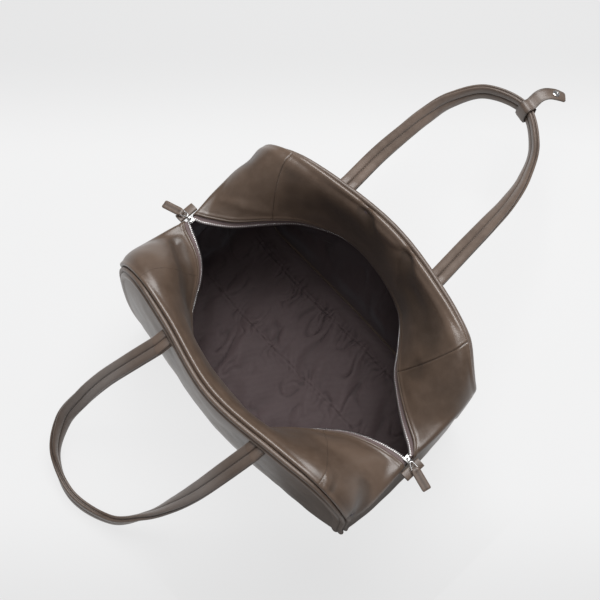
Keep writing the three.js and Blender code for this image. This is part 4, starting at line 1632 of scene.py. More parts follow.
@dataclass
class Lining:
    """Twill lining of the bag, slack and wrinkled."""

    finishes: Finishes
    form: BagForm = FORM
    slack: float = 0.0062
    wall_slack: float = 0.7
    floor_dense: float = 0.36
    centre_seam: float = -0.0045
    wall_seam: float = 0.084

    def build(self) -> None:
        """Makes the lining of the panels, the top strips, the ends and the base."""
        for side in Side:
            self.panel(side)
            self.strip(side)
        self.gusset()

    def _dress(
        self, piece: Piece, node: str
    ) -> None:
        """Finishes a lining piece and hides the node that it stands for.

        Args:
            piece: The cloth.
            node: CAD node that it stands for.
        """
        Dress("lining", self.finishes.lining, (node,)).put_on(piece)

    def _ruffle(self, u: Array, v: Array, seed: float, stretch: float = 2.4) -> Array:
        """Soft creases of slack cloth, from 0 up.

        Args:
            u: Places along the first direction, across which the creases run.
            v: Places along the second direction.
            seed: Shift that gives another pattern.
            stretch: How many times longer than wide a crease is.

        Returns:
            Heights between 0 and about 1.
        """
        bent = u + 0.012 * cloud(np.stack([u, v], -1), 0.05, seed)
        plan = np.stack([bent, v / stretch], -1)
        flat = np.stack([u, v], -1)
        broad = cloud(plan, 0.034, seed + 4.0)
        fine = cloud(plan, 0.016, seed + 9.0)
        patch = smooth((cloud(flat, 0.045, seed + 2.0) + 0.12) / 0.4)
        crease = patch * np.exp(-((cloud(plan, 0.021, seed + 14.0) / 0.11) ** 2))
        return np.maximum(0.0, 0.6 + broad + 0.3 * fine - 0.3 * crease)

    def panel(self, side: Side) -> None:
        """Makes the lining of a panel."""
        f = self.form
        near = np.array([0, 1, 2.2, 3.6, 5.5, 8, 11, 15]) * MM
        start = f.edge + 0.0002
        points, inset = panel_points(f, side, start, near)
        out = panel_facing(points, side)
        free = smooth((inset - start - 0.002) / 0.03)
        creases = self._ruffle(points[..., 0], points[..., 2], 21.0 + side.value, 3.2)
        relief = self.wall_slack * self.slack * free * creases
        laid = points - out * (f.lining_level + relief)[..., None]
        # The cloth finish darkens the creases of this relief as painted shade and lightens its
        # ridges as painted highlight.
        piece = Sheet(
            f"{side.word}_lining_cloth", laid, weave=points[..., [0, 2]],
            crest=standing(relief, 3, 0.0016), outward=side.value, closed=True, thick=f.lining,
            offset=0.0,
        ).lay()
        self._dress(piece, f"{side.word}_lining")

    def strip(self, side: Side) -> None:
        """Makes the lining behind a top strip."""
        f = self.form
        gap = f.seam_gap / f.top_run
        shares = np.linspace(gap, 1 - gap, 190)
        course = StripCourse(side, shares)
        last = course.wide - f.tape_wide + 0.0015
        share = np.linspace(0, 1, 40)[None, :]
        distance = mix(np.full_like(last, f.edge), last, share)
        points = course.points(distance)
        out = facing(points, -side.value)
        s = shares[:, None] * f.top_run + np.zeros_like(distance)
        free = smooth((distance - f.edge) / 0.02) * smooth((last - distance) / 0.012)
        creases = self._ruffle(s, distance, 31.0 + side.value)
        relief = self.slack * self.wall_slack * free * creases
        laid = points - out * (f.lining_level + relief)[..., None]
        piece = Sheet(
            f"{side.word}_strip_lining_cloth", laid, weave=np.stack([s, distance], -1),
            outward=side.value, thick=f.lining, offset=0.0,
        ).lay()
        flat = (f.top_run, float(course.wide.mean()) - f.tape_wide)
        self._dress(piece, f"{side.word}_strip_lining")

    def gusset(self) -> None:
        """Makes the lining of the ends and the base."""
        f = self.form
        low_run = f.whole_run - f.top_run
        turn = (low_run - self.floor_dense) / 2
        along = np.concatenate(
            [
                np.linspace(f.seam_gap, turn, 40)[:-1],
                np.linspace(turn, low_run - turn, 212),
                np.linspace(low_run - turn, low_run - f.seam_gap, 40)[1:],
            ]
        )
        lengths = along + f.top_run
        wide = f.width(lengths)
        start = f.edge - 0.0013
        share = np.linspace(0, 1, 164)[None, :]
        distance = mix(start, wide[:, None] - start, share)
        points = f.band(lengths[:, None], distance / wide[:, None])
        out = facing(points, 1.0)
        edge = np.minimum(distance - start, wide[:, None] - start - distance)
        rim = np.minimum(along, low_run - along)[:, None]
        free = smooth(edge / 0.03) * smooth(rim / 0.02)
        flat_part = smooth((-f.outline(lengths).nz[:, None] - 0.6) / 0.4)
        x, y = points[..., 0], points[..., 1]
        on_floor = self._ruffle(x + 0.25 * y, y, 41.0, 2.0)
        on_ends = self._ruffle(distance, along[:, None] + 0 * distance, 47.0)
        relief = self.slack * free * mix(on_ends, on_floor, flat_part)
        relief = relief + flat_part * free * (self._floor_seams(x, y) + 0.0012)
        laid = points - out * (f.lining_level + relief)[..., None]
        # The cloth finish darkens the creases of this relief as painted shade and lightens its
        # ridges as painted highlight.
        piece = Sheet(
            "gusset_lining_cloth", laid,
            weave=np.stack([along[:, None] + np.zeros_like(distance), distance], -1),
            crest=standing(relief, 4, 0.0013), outward=-1.0, thick=f.lining, offset=0.0,
        ).lay()
        self._dress(piece, "gusset_lining")

    def _floor_seams(self, x: Array, y: Array) -> Array:
        """Puckered seams that run along the floor of the lining.

        Args:
            x: Places along the bag.
            y: Places across the bag.

        Returns:
            Heights in metres.
        """
        drift = 0.002 * np.sin(x / 0.05)
        plan = np.stack([x, y], -1)
        height = np.zeros_like(x)
        for line, strong, pitch, reach in (
            (self.centre_seam, 1.0, 0.0115, 13.0),
            (self.wall_seam, 1.4, 0.0085, 17.0),
        ):
            d = (y - line - drift) / MM
            fold = ridges(y - line - drift, FLOOR_FOLD) / MM
            bent = x / pitch + 1.7 * cloud(plan, 0.021, 60.0 + line) + 0.035 * d
            away = np.abs(bent - np.rint(bent))
            valley = np.exp(-((away / 0.17) ** 2))
            loose = cloud(np.stack([x, 0.25 * y], -1), 0.026, 70.0 + line)
            patch = np.clip(0.55 + 1.5 * loose, 0.0, 1.4)
            near = patch * np.exp(-((np.abs(d) / (reach * (0.4 + patch))) ** 1.6))
            height = height + MM * strong * (0.7 * fold + (0.8 - 1.9 * valley) * near)
        wall = smooth((y - self.wall_seam) / 0.03)
        return height + 0.006 * wall


# ---- zip


@dataclass
class Zip:
    """Tapes, teeth, sliders, pulls and end tabs of the zip."""

    finishes: Finishes
    form: BagForm = FORM
    first_tooth: float = 0.032
    tape_start: float = 0.012
    tape_flat: float = 0.0128
    slider_share: float = 0.026
    pitch: float = 0.0025
    tooth_inset: float = 0.0014
    tooth: Triple = (0.0015, 0.0026, 0.0026)
    stitch_pitch: float = 0.0034
    stitch: Triple = (0.0024, 0.00055, 0.0005)
    droop: float = 6.0
    slider_long: float = 0.009
    slider_wide: float = 0.0084
    slider_high: float = 0.0042
    plate_level: float = 0.0016
    plate_thick: float = 0.0011
    bail_long: float = 0.009
    bail_wire: float = 0.0008
    pull_long: float = 0.026
    pull_wide: float = 0.011
    pull_thick: float = 0.003
    tab_long: float = 0.026
    tab_wide: float = 0.012
    tab_high: float = 0.0052
    tab_wall: float = 0.0013
    tab_forward: float = 0.003

    def build(self) -> None:
        """Makes every piece of the zip."""
        tooth = Stamp(self._tooth())
        stitch = Stamp(stitch_model(self.stitch))
        for side in Side:
            self.tape_side(side)
            self.teeth(side, tooth)
            self.edge_stitches(side, stitch)
        tooth.done()
        stitch.done()
        for end in End:
            self.slider(end)
            self.bail(end)
            self.pull(end)
            self.end_tab(end)

    def _even(
        self, side: Side, inset: float, level: float, pitch: float
    ) -> tuple[Array, Array, Array, Array]:
        """Places at even steps along a strip, at a distance from its opening edge.

        Args:
            side: Front or back.
            inset: Distance from the opening edge.
            level: Depth below the middle of the leather.
            pitch: Rough distance between the places.

        Returns:
            Points, outward normals, directions along and directions across.
        """
        shares = np.linspace(self.first_tooth, 1 - self.first_tooth, 700)
        course = StripCourse(side, shares)
        distance = course.wide - inset + np.array([-0.0006, 0.0, 0.0006])
        points = course.points(distance)
        out = facing(points, -side.value)[:, 1]
        middle = points[:, 1] - out * level
        along = unit(np.gradient(middle, axis=0))
        across = unit(np.cross(out, along))
        where = even_steps(middle, pitch, np.arange(len(middle)))
        low = np.floor(where).astype(int)
        high = np.minimum(low + 1, len(middle) - 1)

        def at(values: Array) -> Array:
            """Values between the rows of an array."""
            return mix(values[low], values[high], (where - low)[:, None])

        return at(middle), unit(at(out)), unit(at(along)), unit(at(across))

    def tape_side(self, side: Side) -> None:
        """Makes one zip tape with its corded edge."""
        f = self.form
        shares = np.linspace(self.tape_start, 1 - self.tape_start, 280)
        course = StripCourse(side, shares)
        back = np.array([13, 10, 8.4, 7, 5.6, 4.4, 3.5, 2.9, 2.3, 1.7, 1.1, 0.6, 0.25]) * MM
        distance = course.wide - back[None, :]
        points = course.points(distance)
        out = facing(points, -side.value)
        s = shares[:, None] * f.top_run + np.zeros_like(distance)
        ribs = 0.12 * MM * np.sin(s / 0.0011) * hump(back[None, :] / MM, 5.0, 3.0)
        relief = 0.25 * MM * hump(back[None, :] / MM, 1.2, 1.0) + ribs * 0.3
        piece = Sheet(
            f"{side.word}_zip_tape_cloth", points - out * (f.tape_level - relief)[..., None],
            weave=np.stack([s, distance], -1), outward=side.value, thick=f.tape, offset=0.0,
        ).lay()
        Dress("zip_tape", self.finishes.tape, (f"{side.word}_zip_tape",)).put_on(piece)

    def _tooth(self) -> Piece:
        """One tooth: a clamp over the tape's edge with a raised head."""
        tooth = Bench.add("tooth", bpy.ops.mesh.primitive_cube_add, size=1.0)
        tooth.scale = self.tooth
        Bench.settle(tooth)
        Bench.pick(tooth, lambda middle, normal: normal.y < -0.5)
        Bench.edit(
            tooth,
            lambda: bpy.ops.mesh.inset(thickness=0.00025, depth=0.0),
            lambda: bpy.ops.mesh.extrude_region_move(
                TRANSFORM_OT_translate={"value": (0, -0.0007, 0)}
            ),
            picked=True,
        )
        Bench.modify(tooth, "BEVEL", width=0.00022, segments=1, limit_method="ANGLE")
        return tooth

    def teeth(self, side: Side, tooth: Stamp) -> None:
        """Makes the teeth of one side."""
        level = self.form.tape_level
        place, up, run, across = self._even(side, self.tooth_inset, level, self.pitch)
        side_on = unit(np.cross(up, run))
        toward = np.sign((side_on * across * side.value).sum(1))[:, None]
        name = f"{side.word}_zip_teeth_row"
        piece = tooth.row(name, place, run * toward, side_on * toward, up)
        Dress("zip_metal", self.finishes.teeth, (f"{side.word}_zip_teeth",)).put_on(piece)

    def edge_stitches(self, side: Side, stitch: Stamp) -> None:
        """Makes the stitches in the folded leather edge."""
        inset = self.form.tape_shown + 0.003
        level = -self.form.leather / 2 - 0.00015
        place, out, along, across = self._even(side, inset, level, self.stitch_pitch)
        piece = stitch.row(f"{side.word}_zip_stitches", place, along, across, out)
        Dress("leather", self.finishes.thread).put_on(piece)

    def end_frame(self, end: End) -> Matrix:
        """Frame at a zip end: X out past the end of the bag, Z up.

        Args:
            end: Left or right.

        Returns:
            The frame as a matrix.
        """
        share = np.array([self.slider_share if end is End.LEFT else 1 - self.slider_share])
        one = np.array([1.0])
        both = self.form.strip(Side.FRONT, share, one) + self.form.strip(Side.BACK, share, one)
        droop = math.radians(self.droop)
        x = Vector((end.value * math.cos(droop), 0, -math.sin(droop)))
        z = Vector((end.value * math.sin(droop), 0, math.cos(droop)))
        if end is End.LEFT:
            z = Vector((-math.sin(droop), 0, math.cos(droop)))
        return as_frame(Vector(both[0] / 2), x, z)

    def pull_frame(self, end: End) -> Matrix:
        """Frame of a pull: X along it, Z up from its face."""
        base = self.end_frame(end)
        turn = math.radians(17 if end is End.LEFT else -12)
        x = Vector((end.value * math.cos(turn), -math.sin(abs(turn)), -0.1)).normalized()
        y = Vector((0, 0, 1)).cross(x).normalized()
        rise = self.slider_high * 0.6 + self.bail_wire + 0.0008
        start = base @ Vector((self.slider_long * 0.35, 0, rise))
        return as_frame(start, x, x.cross(y))

    def _plate(self, level: float) -> Piece:
        """A slider's plate, narrow at its nose.

        Args:
            level: Height of its middle.

        Returns:
            The plate.
        """
        plate = Bench.add(
            "plate", bpy.ops.mesh.primitive_cube_add, size=1.0, location=(0, 0, level)
        )
        plate.scale = (self.slider_long, self.slider_wide, self.plate_thick)
        Bench.settle(plate)
        Bench.pick(plate, lambda middle, normal: normal.x > 0.5)
        Bench.edit(
            plate,
            lambda: bpy.ops.transform.resize(value=(1, 0.5, 1), center_override=(0, 0, 0)),
            picked=True,
        )
        Bench.pick(plate, lambda middle, normal: normal.x < -0.5)
        Bench.edit(
            plate,
            lambda: bpy.ops.mesh.extrude_region_move(
                TRANSFORM_OT_translate={"value": (-0.0012, 0, 0)}
            ),
            lambda: bpy.ops.transform.resize(value=(1, 0.7, 1), center_override=(0, 0, 0)),
            picked=True,
        )
        Bench.modify(plate, "BEVEL", width=0.0005, segments=3, limit_method="ANGLE")
        return plate

    @staticmethod
    def _bridge() -> Piece:
        """The arch on a slider that holds the wire."""
        turn = np.linspace(0, math.pi, 15)
        x, z = 0.0032 * -np.cos(turn) + 0.0004, 0.0019 + 0.0026 * np.sin(turn)
        path = np.stack([x, 0 * turn, z], -1)
        along = unit(np.gradient(path, axis=0))
        across = everywhere((0, 1, 0), path)
        section = ellipse(0.0016, 0.0006, 12, 0.6)
        return tube("bridge", path, across, unit(np.cross(along, across)), section)

    def slider(self, end: End) -> None:
        """Makes a slider: two plates, a core between them and a bridge on top."""
        plates = [self._plate(level) for level in (self.plate_level, -self.plate_level)]
        core = Bench.add(
            "core", bpy.ops.mesh.primitive_cylinder_add, vertices=16, radius=0.0014, depth=0.0032
        )
        core.location = (-0.0022, 0, 0)
        Bench.settle(core)
        parts = [*plates, core, self._bridge()]
        for part in parts:
            if "crest" in part.data.attributes:
                part.data.attributes.remove(part.data.attributes["crest"])
        piece = Bench.join(f"{end.word}_zip_slider", parts)
        Bench.settle(piece, self.end_frame(end))
        Bench.round_off(piece, 35)
        Dress("zip_metal", self.finishes.metal, (f"{end.word}_slider",)).put_on(piece)

    def bail(self, end: End) -> None:
        """Makes the wire triangle that joins a slider and its pull."""
        half = self.pull_wide * 0.36
        corners = np.array(
            [[0, -0.0016], [self.bail_long, -half], [self.bail_long, half], [0, 0.0016]]
        )
        path = rounded_loop(corners, 0.0011, 7)
        path = np.column_stack([path, np.zeros(len(path))])
        along = unit(np.roll(path, -1, 0) - np.roll(path, 1, 0))
        up = everywhere((0, 0, 1), path)
        across = unit(np.cross(up, along))
        ring = ellipse(self.bail_wire, self.bail_wire, 10)
        piece = tube(f"{end.word}_bail_wire", path, across, up, ring, looped=True)
        Bench.settle(piece, self.pull_frame(end))
        Dress("zip_metal", self.finishes.metal, (f"{end.word}_bail",)).put_on(piece)

    def pull(self, end: End) -> None:
        """Makes a leather pull: a strap folded round the wire, with a grooved middle."""
        start = self.bail_long - 0.0016
        long = self.pull_long + self.bail_wire + 0.002
        a = stations(long, [0, 0.0004, 0.001, 0.0018, 0.003, 0.0045], 0.0012)
        near, far = smooth(a / 0.0035), smooth((long - a) / 0.0016)
        wide = self.pull_wide / 2 * (0.8 + 0.2 * smooth(a / 0.006))
        wide = wide * (0.72 + 0.28 * near) * (0.86 + 0.14 * far)
        high = self.pull_thick / 2 * (0.35 + 0.65 * np.sqrt(near)) * (0.55 + 0.45 * far)
        high = high * (1 + 0.25 * hump(a, 0.0022, 0.0018))
        rings = ellipse(1.0, 1.0, 40, 0.55)[None] * np.stack([wide, high], -1)[:, None]
        # Crest: the lobes are lightened for wear; the middle groove and the joint between the
        # layers are darkened as painted shade.
        wear_highlight_and_shade = 0.7 * hump(np.abs(rings[..., 0]) / MM, 3.4, 1.0)
        wear_highlight_and_shade -= 1.4 * hump(rings[..., 0] / MM, 0.0, 0.9) + 1.2 * hump(rings[..., 1] / MM, 0.0, 0.5)
        groove = 0.5 * hump(rings[..., 0] / MM, 0.0, 1.0) * smooth((a - 0.004) / 0.003)[:, None]
        lobes = 0.1 * hump(np.abs(rings[..., 0]) / MM, 2.6, 1.4)
        rings[..., 1] *= 1 - groove + lobes
        rings[..., 0] *= 1 - 0.07 * hump(rings[..., 1] / MM, 0.0, 0.35)
        path = np.stack([start + a, 0 * a, -0.0006 * smooth(a / long)], -1)
        across, up = everywhere((0, 1, 0), path), everywhere((0, 0, 1), path)
        piece = tube(f"{end.word}_pull_leather", path, across, up, rings, crest=wear_highlight_and_shade)
        Bench.settle(piece, self.pull_frame(end))
        Dress("handle_leather", self.finishes.strap, (f"{end.word}_pull",)).put_on(piece)

    def end_tab(self, end: End) -> None:
        """Makes the folded leather loop that is sewn across a zip end."""
        count = 32
        turn = np.arange(count + 1) * 2 * math.pi / count
        c, s = np.cos(turn), np.sin(turn)
        flat = np.sign(s) * np.abs(s) ** 0.6
        drop = self.tab_high * 0.6 - 0.0006
        middle = self.slider_long * 0.5 + 0.0006 + self.tab_wide / 2
        y = stations(self.tab_long, [0, 0.0004, 0.001, 0.002], 0.0015) - self.tab_long / 2
        y = y - self.tab_forward
        pinched = 1 - 0.22 * hump(y, -self.tab_forward, 0.005)
        off_middle = np.abs(y + self.tab_forward)
        open_end = 1 + 0.05 * hump(off_middle, self.tab_long / 2, 0.004)
        high = (self.tab_high / 2) * pinched * open_end
        points = np.stack(
            [
                middle + (self.tab_wide / 2) * c[None, :] + 0 * y[:, None],
                y[:, None] + 0 * c[None, :],
                high[:, None] * flat[None, :] - drop,
            ],
            -1,
        )
        ring = Sheet(
            f"{end.word}_end_tab_leather", points, weave=points[..., [1, 0]],
            crest=0.3 * hump(off_middle, self.tab_long / 2, 0.002)[:, None] + 0 * points[..., 0],
            closed=True,
        ).lay()
        Bench.turn_out(ring)
        Bench.modify(ring, "SOLIDIFY", thickness=self.tab_wall, offset=-1.0, use_rim=True)
        Bench.settle(ring, self.end_frame(end))
        Bench.round_off(ring, 50)
        Dress("handle_leather", self.finishes.strap, (f"{end.word}_end_tab",)).put_on(ring)


def as_frame(place: Vector, x: Vector, z: Vector) -> Matrix:
    """Matrix of a right-handed frame.

    Args:
        place: Origin.
        x: First axis.
        z: Third axis.

    Returns:
        The frame.
    """
    y = z.cross(x).normalized()
    turn = Matrix((x.normalized(), y, z.normalized())).transposed().to_4x4()
    return Matrix.Translation(place) @ turn


def rounded_loop(corners: Array, radius: float, steps: int) -> Array:
    """Closed line with rounded corners.

    Args:
        corners: Corner points in order.
        radius: How far from a corner the rounding starts.
        steps: Points on each corner.

    Returns:
        Points of the line.
    """
    found = []
    count = len(corners)
    for i in range(count):
        here = corners[i]
        back = unit(corners[i - 1] - here) * radius
        ahead = unit(corners[(i + 1) % count] - here) * radius
        for t in np.linspace(0, 1, steps):
            found.append(here + back * (1 - t) ** 2 + ahead * t**2)
    return np.array(found)


def stitch_model(size: Triple) -> Piece:
    """One stitch: a short thread that dips in at both ends.

    Args:
        size: Length, width and height.

    Returns:
        The model, to be copied.
    """
    piece = Bench.add(
        "stitch", bpy.ops.mesh.primitive_uv_sphere_add, segments=8, ring_count=5, radius=0.5
    )
    piece.rotation_euler = (0, math.pi / 2, 0)
    Bench.settle(piece)
    piece.scale = size
    Bench.settle(piece)
    return piece


# ---- handles


@dataclass
class Handles:
    """Two padded straps, each of two layers with a stitched middle."""

    finishes: Finishes
    form: BagForm = FORM
    wide: float = 0.022
    thick: float = 0.009
    rings: int = 260
    power: float = 0.78
    groove_level: float = 0.0028
    stitch: Triple = (0.003, 0.0006, 0.0006)
    stitch_pitch: float = 0.0042

    def build(self) -> None:
        """Makes both handles."""
        stitch = Stamp(stitch_model(self.stitch))
        for side, table in ((Side.FRONT, FRONT_STRAP), (Side.BACK, BACK_STRAP)):
            self.strap(side, table)
            self.stitches(side, table, stitch)
        stitch.done()

    @staticmethod
    def course(table: Table, shares: Array) -> tuple[Array, Array, Array, Array]:
        """Middle line of a handle with its directions.

        Args:
            table: The handle's rows.
            shares: Shares along it.

        Returns:
            Points, directions along, face directions and width directions.
        """
        rows = read_rows(table, shares)
        e = 0.004
        ahead = read_rows(table, np.minimum(1, shares + e))[:, :3]
        behind = read_rows(table, np.maximum(0, shares - e))[:, :3]
        along = unit(ahead - behind)
        down = unit(np.array([0.0, 0.0, -1.0]) + along * along[:, 2:3])
        outwards = unit(np.cross(down, along) * -np.sign(table[0][2]))
        turn = np.radians(rows[:, 3:4])
        face = unit(down * np.cos(turn) + outwards * np.sin(turn))
        return rows[:, :3], along, face, unit(np.cross(along, face))

    def section(self) -> Array:
        """Section of the strap: two layers, each of two padded rolls."""
        turn = np.radians([-50, -38, -26, -14, -3, 8, 20, 34, 50, 68, 86, 104, 120, 134, 147, 158])
        half, deep = self.wide / 4, self.thick / 4
        c, s = np.cos(turn), np.sin(turn)
        a = half * (1 + np.sign(c) * np.abs(c) ** self.power)
        b = deep * (1 + np.sign(s) * np.abs(s) ** self.power)
        right = np.stack([a, b], -1)
        left = np.stack([-a, b], -1)[::-1]
        upper = np.concatenate([right, [[0.0, self.groove_level]], left])
        return np.concatenate([upper, -upper])

    def strap(self, side: Side, table: Table) -> None:
        """Makes one strap."""
        f = self.form
        shares = np.linspace(0, 1, self.rings)
        path, _, face, wide = self.course(table, shares)
        section = self.section()
        swell = 1 + 0.025 * cloud(path, 0.03, 2.0)
        rings = section[None] * np.stack([1 + 0 * swell, swell], -1)[:, None]
        points = path[:, None] + rings[..., :1] * wide[:, None] + rings[..., 1:] * face[:, None]
        for i in (0, -1):
            rho = (points[i, :, 2] - f.middle) / (f.top - f.edge - f.middle)
            seat = f.depth(side, points[i, :, 0], points[i, :, 2])
            off = f.bulge * (1 - rho**2) + f.leather / 2 + 0.0001
            points[i, :, 1] = seat + side.value * off
        points = np.concatenate([points, points[:, :1]], axis=1)
        # Crest of the section: the tops of the rolls are lightened for wear; the middle groove and
        # the joint between the two layers are darkened as painted shade.
        wear_highlight_and_shade = 0.7 * hump(np.abs(section[:, 0]) / MM, 5.2, 2.6)
        edges, middle = hump(section[:, 1] / MM, 0.0, 0.9), hump(section[:, 0] / MM, 0.0, 1.2)
        wear_highlight_and_shade -= 1.3 * edges + 1.3 * middle
        wear_highlight_and_shade = np.append(wear_highlight_and_shade, wear_highlight_and_shade[0])
        crest = wear_highlight_and_shade[None] + np.zeros(points.shape[:2])
        run = running(path)[:, None] + np.zeros(points.shape[:2])
        around = np.linspace(0, 0.06, points.shape[1])[None] + np.zeros(points.shape[:2])
        piece = Sheet(
            f"{side.word}_handle_strap", points, weave=np.stack([run, around], -1),
            crest=crest, closed=True, capped=True,
        ).lay()
        Bench.turn_out(piece)
        Bench.round_off(piece, 70)
        Dress("handle_leather", self.finishes.strap, (f"{side.word}_handle",)).put_on(piece)

    def stitches(self, side: Side, table: Table, stitch: Stamp) -> None:
        """Makes the stitches in the grooves of both faces."""
        fine = np.linspace(0.012, 0.988, 900)
        path = self.course(table, fine)[0]
        shares = even_steps(path, self.stitch_pitch, fine)
        place, along, face, wide = self.course(table, shares)
        level = self.groove_level + 0.0001
        piece = stitch.row(
            f"{side.word}_handle_stitches",
            np.concatenate([place + face * level, place - face * level]),
            np.concatenate([along, along]), np.concatenate([wide, wide]),
            np.concatenate([face, face]),
        )
        Dress("handle_leather", self.finishes.thread).put_on(piece)


@dataclass
class Keeper:
    """Snap strap that wraps the back handle."""

    finishes: Finishes
    share: float = 0.505
    wide: float = 0.018
    thick: float = 0.0022
    clear: float = 0.002
    strap_wide: float = 0.022
    strap_thick: float = 0.009
    snap_radius: float = 0.005
    tail: Table = (
        (0.050, 0.015, 0.015),
        (0.039, 0.006, 0.019),
        (0.028, 0.0, 0.021),
        (0.018, -0.002, 0.020),
        (0.009, -0.001, 0.016),
    )

    def build(self) -> None:
        """Makes the strap and its snap."""
        self.strap()
        self.snap()

    def frame(self) -> tuple[Array, Array, Array, Array]:
        """Middle, out, along and up directions where the keeper wraps the handle."""
        path, along, face, wide = Handles.course(BACK_STRAP, np.array([self.share]))
        up = wide[0] if wide[0, 2] > 0 else -wide[0]
        out = face[0] if face[0, 1] > 0 else -face[0]
        return path[0], out, along[0], up

    def path(self) -> Array:
        """Smooth middle line of the strap, from its tip round the handle."""
        reach = self.clear + self.thick / 2
        t = self.strap_thick / 2 + reach + 0.0006
        w = self.strap_wide / 2 + reach + 0.0003
        rows = [
            *self.tail,
            (t * 0.55, 0, w),
            (-t * 0.55, 0, w),
            (-t, 0, w * 0.72),
            (-t, 0, -w * 0.72),
            (-t * 0.55, 0, -w),
            (t * 0.55, 0, -w),
            (t, 0, -w * 0.72),
            (t, 0, w * 0.55),
        ]
        flat = np.array(rows)
        run = running(flat)
        fine = np.linspace(0, run[-1], 110)
        table = tuple((r, *p) for r, p in zip(run, flat))
        middle, out, along, up = self.frame()
        at = read_rows(table, fine)
        return middle + at[:, :1] * out + at[:, 1:2] * along + at[:, 2:3] * up

    def strap(self) -> None:
        """Makes the strap."""
        path = self.path()
        _, _, handle_along, _ = self.frame()
        run = unit(np.gradient(path, axis=0))
        across = unit(handle_along - run * (run @ handle_along)[:, None])
        face = unit(np.cross(run, across))
        gone = running(path)
        tip = np.sqrt(np.clip(gone / 0.003, 0, 1))
        half = self.wide / 2 * (0.72 + 0.28 * tip) * (1 + 0.08 * hump(gone, 0.012, 0.008))
        rings = ellipse(1.0, 1.0, 36, 0.45)[None] * np.stack(
            [half, np.full_like(half, self.thick / 2)], -1
        )[:, None]
        edge = half[:, None] - np.abs(rings[..., 0])
        rings[..., 1] *= 1 - 0.3 * hump(edge / MM, 2.0, 0.5) + 0.12 * hump(edge / MM, 4.5, 2.0)
        # Crest: the middle of the strap is lightened as painted highlight; its edges and the line
        # of its edge stitching are darkened as painted shade.
        wear_highlight_and_shade = 0.5 * hump(rings[..., 0] / MM, 0.0, 3.5) - 1.5 * hump(edge / MM, 0.0, 1.3)
        wear_highlight_and_shade -= 0.9 * hump(edge / MM, 2.0, 0.45)
        piece = tube("keeper_strap_leather", path, across, face, rings, crest=wear_highlight_and_shade)
        Dress("handle_leather", self.finishes.strap, ("keeper_strap",)).put_on(piece)

    def snap(self) -> None:
        """Makes the snap's cap."""
        middle, out, along, up = self.frame()
        tail = np.array(self.tail)
        world = middle + tail[:, :1] * out + tail[:, 1:2] * along + tail[:, 2:3] * up
        run = unit(world[2] - world[0])
        across = unit(along - run * (along @ run))
        top = np.cross(run, across)
        top = top if top[2] > 0 else -top
        base = world[1] + top * (self.thick / 2 + 0.0001)
        cap = Bench.add(
            "snap_cap_metal", bpy.ops.mesh.primitive_cylinder_add, vertices=40,
            radius=self.snap_radius, depth=0.0012, location=(0, 0, 0.0006),
        )
        Bench.settle(cap)
        Bench.pick(cap, lambda centre, normal: normal.z > 0.9)
        Bench.edit(
            cap,
            lambda: bpy.ops.mesh.inset(thickness=0.0008, depth=0.0004),
            lambda: bpy.ops.mesh.inset(thickness=0.0012, depth=0.00025),
            lambda: bpy.ops.mesh.inset(thickness=0.0010, depth=-0.0004),
            lambda: bpy.ops.mesh.inset(thickness=0.0010, depth=-0.0001),
            picked=True,
        )
        Bench.modify(
            cap, "BEVEL", width=0.00025, segments=2, limit_method="ANGLE", angle_limit=0.5
        )
        Bench.settle(cap, as_frame(Vector(base), Vector(run), Vector(top)))
        Bench.round_off(cap, 40)
        Dress("zip_metal", self.finishes.metal, ("snap_cap",)).put_on(cap)


# ---- studio


@dataclass(frozen=True)
class SoftLight:
    """A square light that points at a place."""

    name: str
    place: Triple
    target: Triple
    size: float
    power: float

    def hang(self) -> None:
        """Adds the light to the studio."""
        data = bpy.data.lights.new(self.name, "AREA")
        data.shape = "SQUARE"
        data.size = self.size
        data.energy = self.power
        light = bpy.data.objects.new(self.name, data)
        bpy.context.collection.objects.link(light)
        light.location = self.place
        look = Vector(self.target) - Vector(self.place)
        light.rotation_euler = look.to_track_quat("-Z", "Y").to_euler()


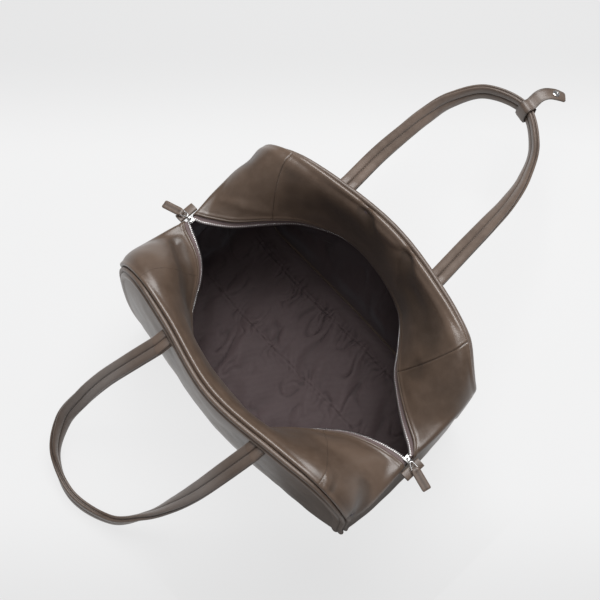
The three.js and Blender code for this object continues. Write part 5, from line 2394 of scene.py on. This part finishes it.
@dataclass(frozen=True)
class Studio:
    """Camera, floor and soft light."""

    place: Triple = (0.25625, -0.23271, 1.29411)
    turn: tuple[float, float] = (19.2623, 47.7695)
    lens: float = 57.6158
    floor_colour: Colour = (0.10, 0.10, 0.10)
    # the floor's glow near the bag and away from it: painted light
    floor_glow: Colour = (0.77, 0.77, 0.772)
    floor_glow_far: Colour = (0.68, 0.68, 0.682)
    # left, right, front and back of the black card that stands in for the bag's shadow on the
    # floor, as painted shadow
    card: tuple[float, float, float, float] = (0.02, 0.34, -0.32, 0.11)
    sky: Colour = (0.95, 0.96, 1.0)
    sky_strength: float = 0.18
    lights: tuple[SoftLight, ...] = (
        SoftLight("key", (-0.42, 0.74, 2.05), (0, 0, 0.15), 1.4, 50.0),
        SoftLight("fill", (0.3, -0.4, 2.3), (0, 0, 0.1), 1.2, 8.0),
    )

    def camera(self) -> None:
        """Makes the camera at the photograph's place."""
        data = bpy.data.cameras.new("camera")
        data.lens = self.lens
        data.sensor_width = 36.0
        data.clip_start, data.clip_end = 0.05, 20.0
        camera = bpy.data.objects.new("camera", data)
        bpy.context.collection.objects.link(camera)
        camera.location = self.place
        camera.rotation_euler = (math.radians(self.turn[0]), 0, math.radians(self.turn[1]))
        bpy.context.scene.camera = camera

    def floor(self) -> None:
        """Makes the pale floor, which glows though it is no lamp: painted light that keeps the
        bag's shadow off it, brightest in a band through the bag and dimmer towards the top and
        bottom of the view.
        """
        floor = Bench.add(
            "studio_floor", bpy.ops.mesh.primitive_plane_add, size=12.0, location=(0, 0, -0.0004)
        )
        g = Graph("studio_floor")
        place = g.place()
        x, y = g.apart(place)
        away = ((y - 0.071) * 0.672 - (x + 0.079) * 0.740 + 0.02).size()
        glow = g.blend(away.between(0.24, 0.44), self.floor_glow, self.floor_glow_far)
        tone = g.blend(g.noise(place, 3.0, 2.0) * 0.06, self.floor_colour, (0.11, 0.11, 0.11))
        floor.data.materials.append(
            g.finish(
                {
                    "Base Color": tone,
                    "Roughness": 0.8,
                    "Specular IOR Level": 0.1,
                    "Emission Color": glow,
                    "Emission Strength": 1.0,
                }
            )
        )

    def painted_shadow_card(self) -> None:
        """Lays a black card by the front right corner, to hold back the floor's glow: a painted
        shadow, unseen by the camera and casting none, that stands in for the bag's shadow on the
        floor in the front panel's reflection.
        """
        left, right, front, back = self.card
        middle = ((left + right) / 2, (front + back) / 2, -0.0002)
        card = Bench.add(
            "studio_painted_shadow_card", bpy.ops.mesh.primitive_plane_add, size=1.0, location=middle
        )
        card.scale = (right - left, back - front, 1)
        Bench.settle(card)
        g = Graph("studio_painted_shadow_card")
        x, y = g.apart(g.place())
        cover = x.between(left, left + 0.13) * (1 - y.between(back - 0.10, back)) * 0.9
        g.finish({"Base Color": (0.01, 0.01, 0.01), "Roughness": 0.9, "Specular IOR Level": 0.0})
        clear = g.add("ShaderNodeBsdfTransparent")
        faces = {0: cover, 1: clear.outputs[0], 2: g.shader.outputs[0]}
        both = g.add("ShaderNodeMixShader", None, faces)
        g.feed(g.tree.nodes["Material Output"].inputs[0], both.outputs[0])
        card.data.materials.append(g.material)
        card.visible_camera = False
        card.visible_shadow = False

    def build(self) -> None:
        """Makes the studio."""
        self.camera()
        self.floor()
        self.painted_shadow_card()
        world = bpy.data.worlds.new("studio")
        world.use_nodes = True
        sky = world.node_tree.nodes["Background"]
        sky.inputs[0].default_value = (*self.sky, 1.0)
        sky.inputs[1].default_value = self.sky_strength
        bpy.context.scene.world = world
        bpy.context.scene.view_settings.view_transform = "Standard"
        for light in self.lights:
            light.hang()


def main() -> None:
    """Builds the bag in order."""
    logging.basicConfig(level=logging.INFO, format="%(name)s: %(message)s")
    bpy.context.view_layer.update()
    Studio().build()
    finishes = Finishes()
    for part in (
        LeatherShell(finishes),
        Piping(finishes),
        Lining(finishes),
        Zip(finishes),
        Handles(finishes),
        Keeper(finishes),
    ):
        LOG.info("building %s", type(part).__name__)
        part.build()


if __name__ == "__main__":
    main()
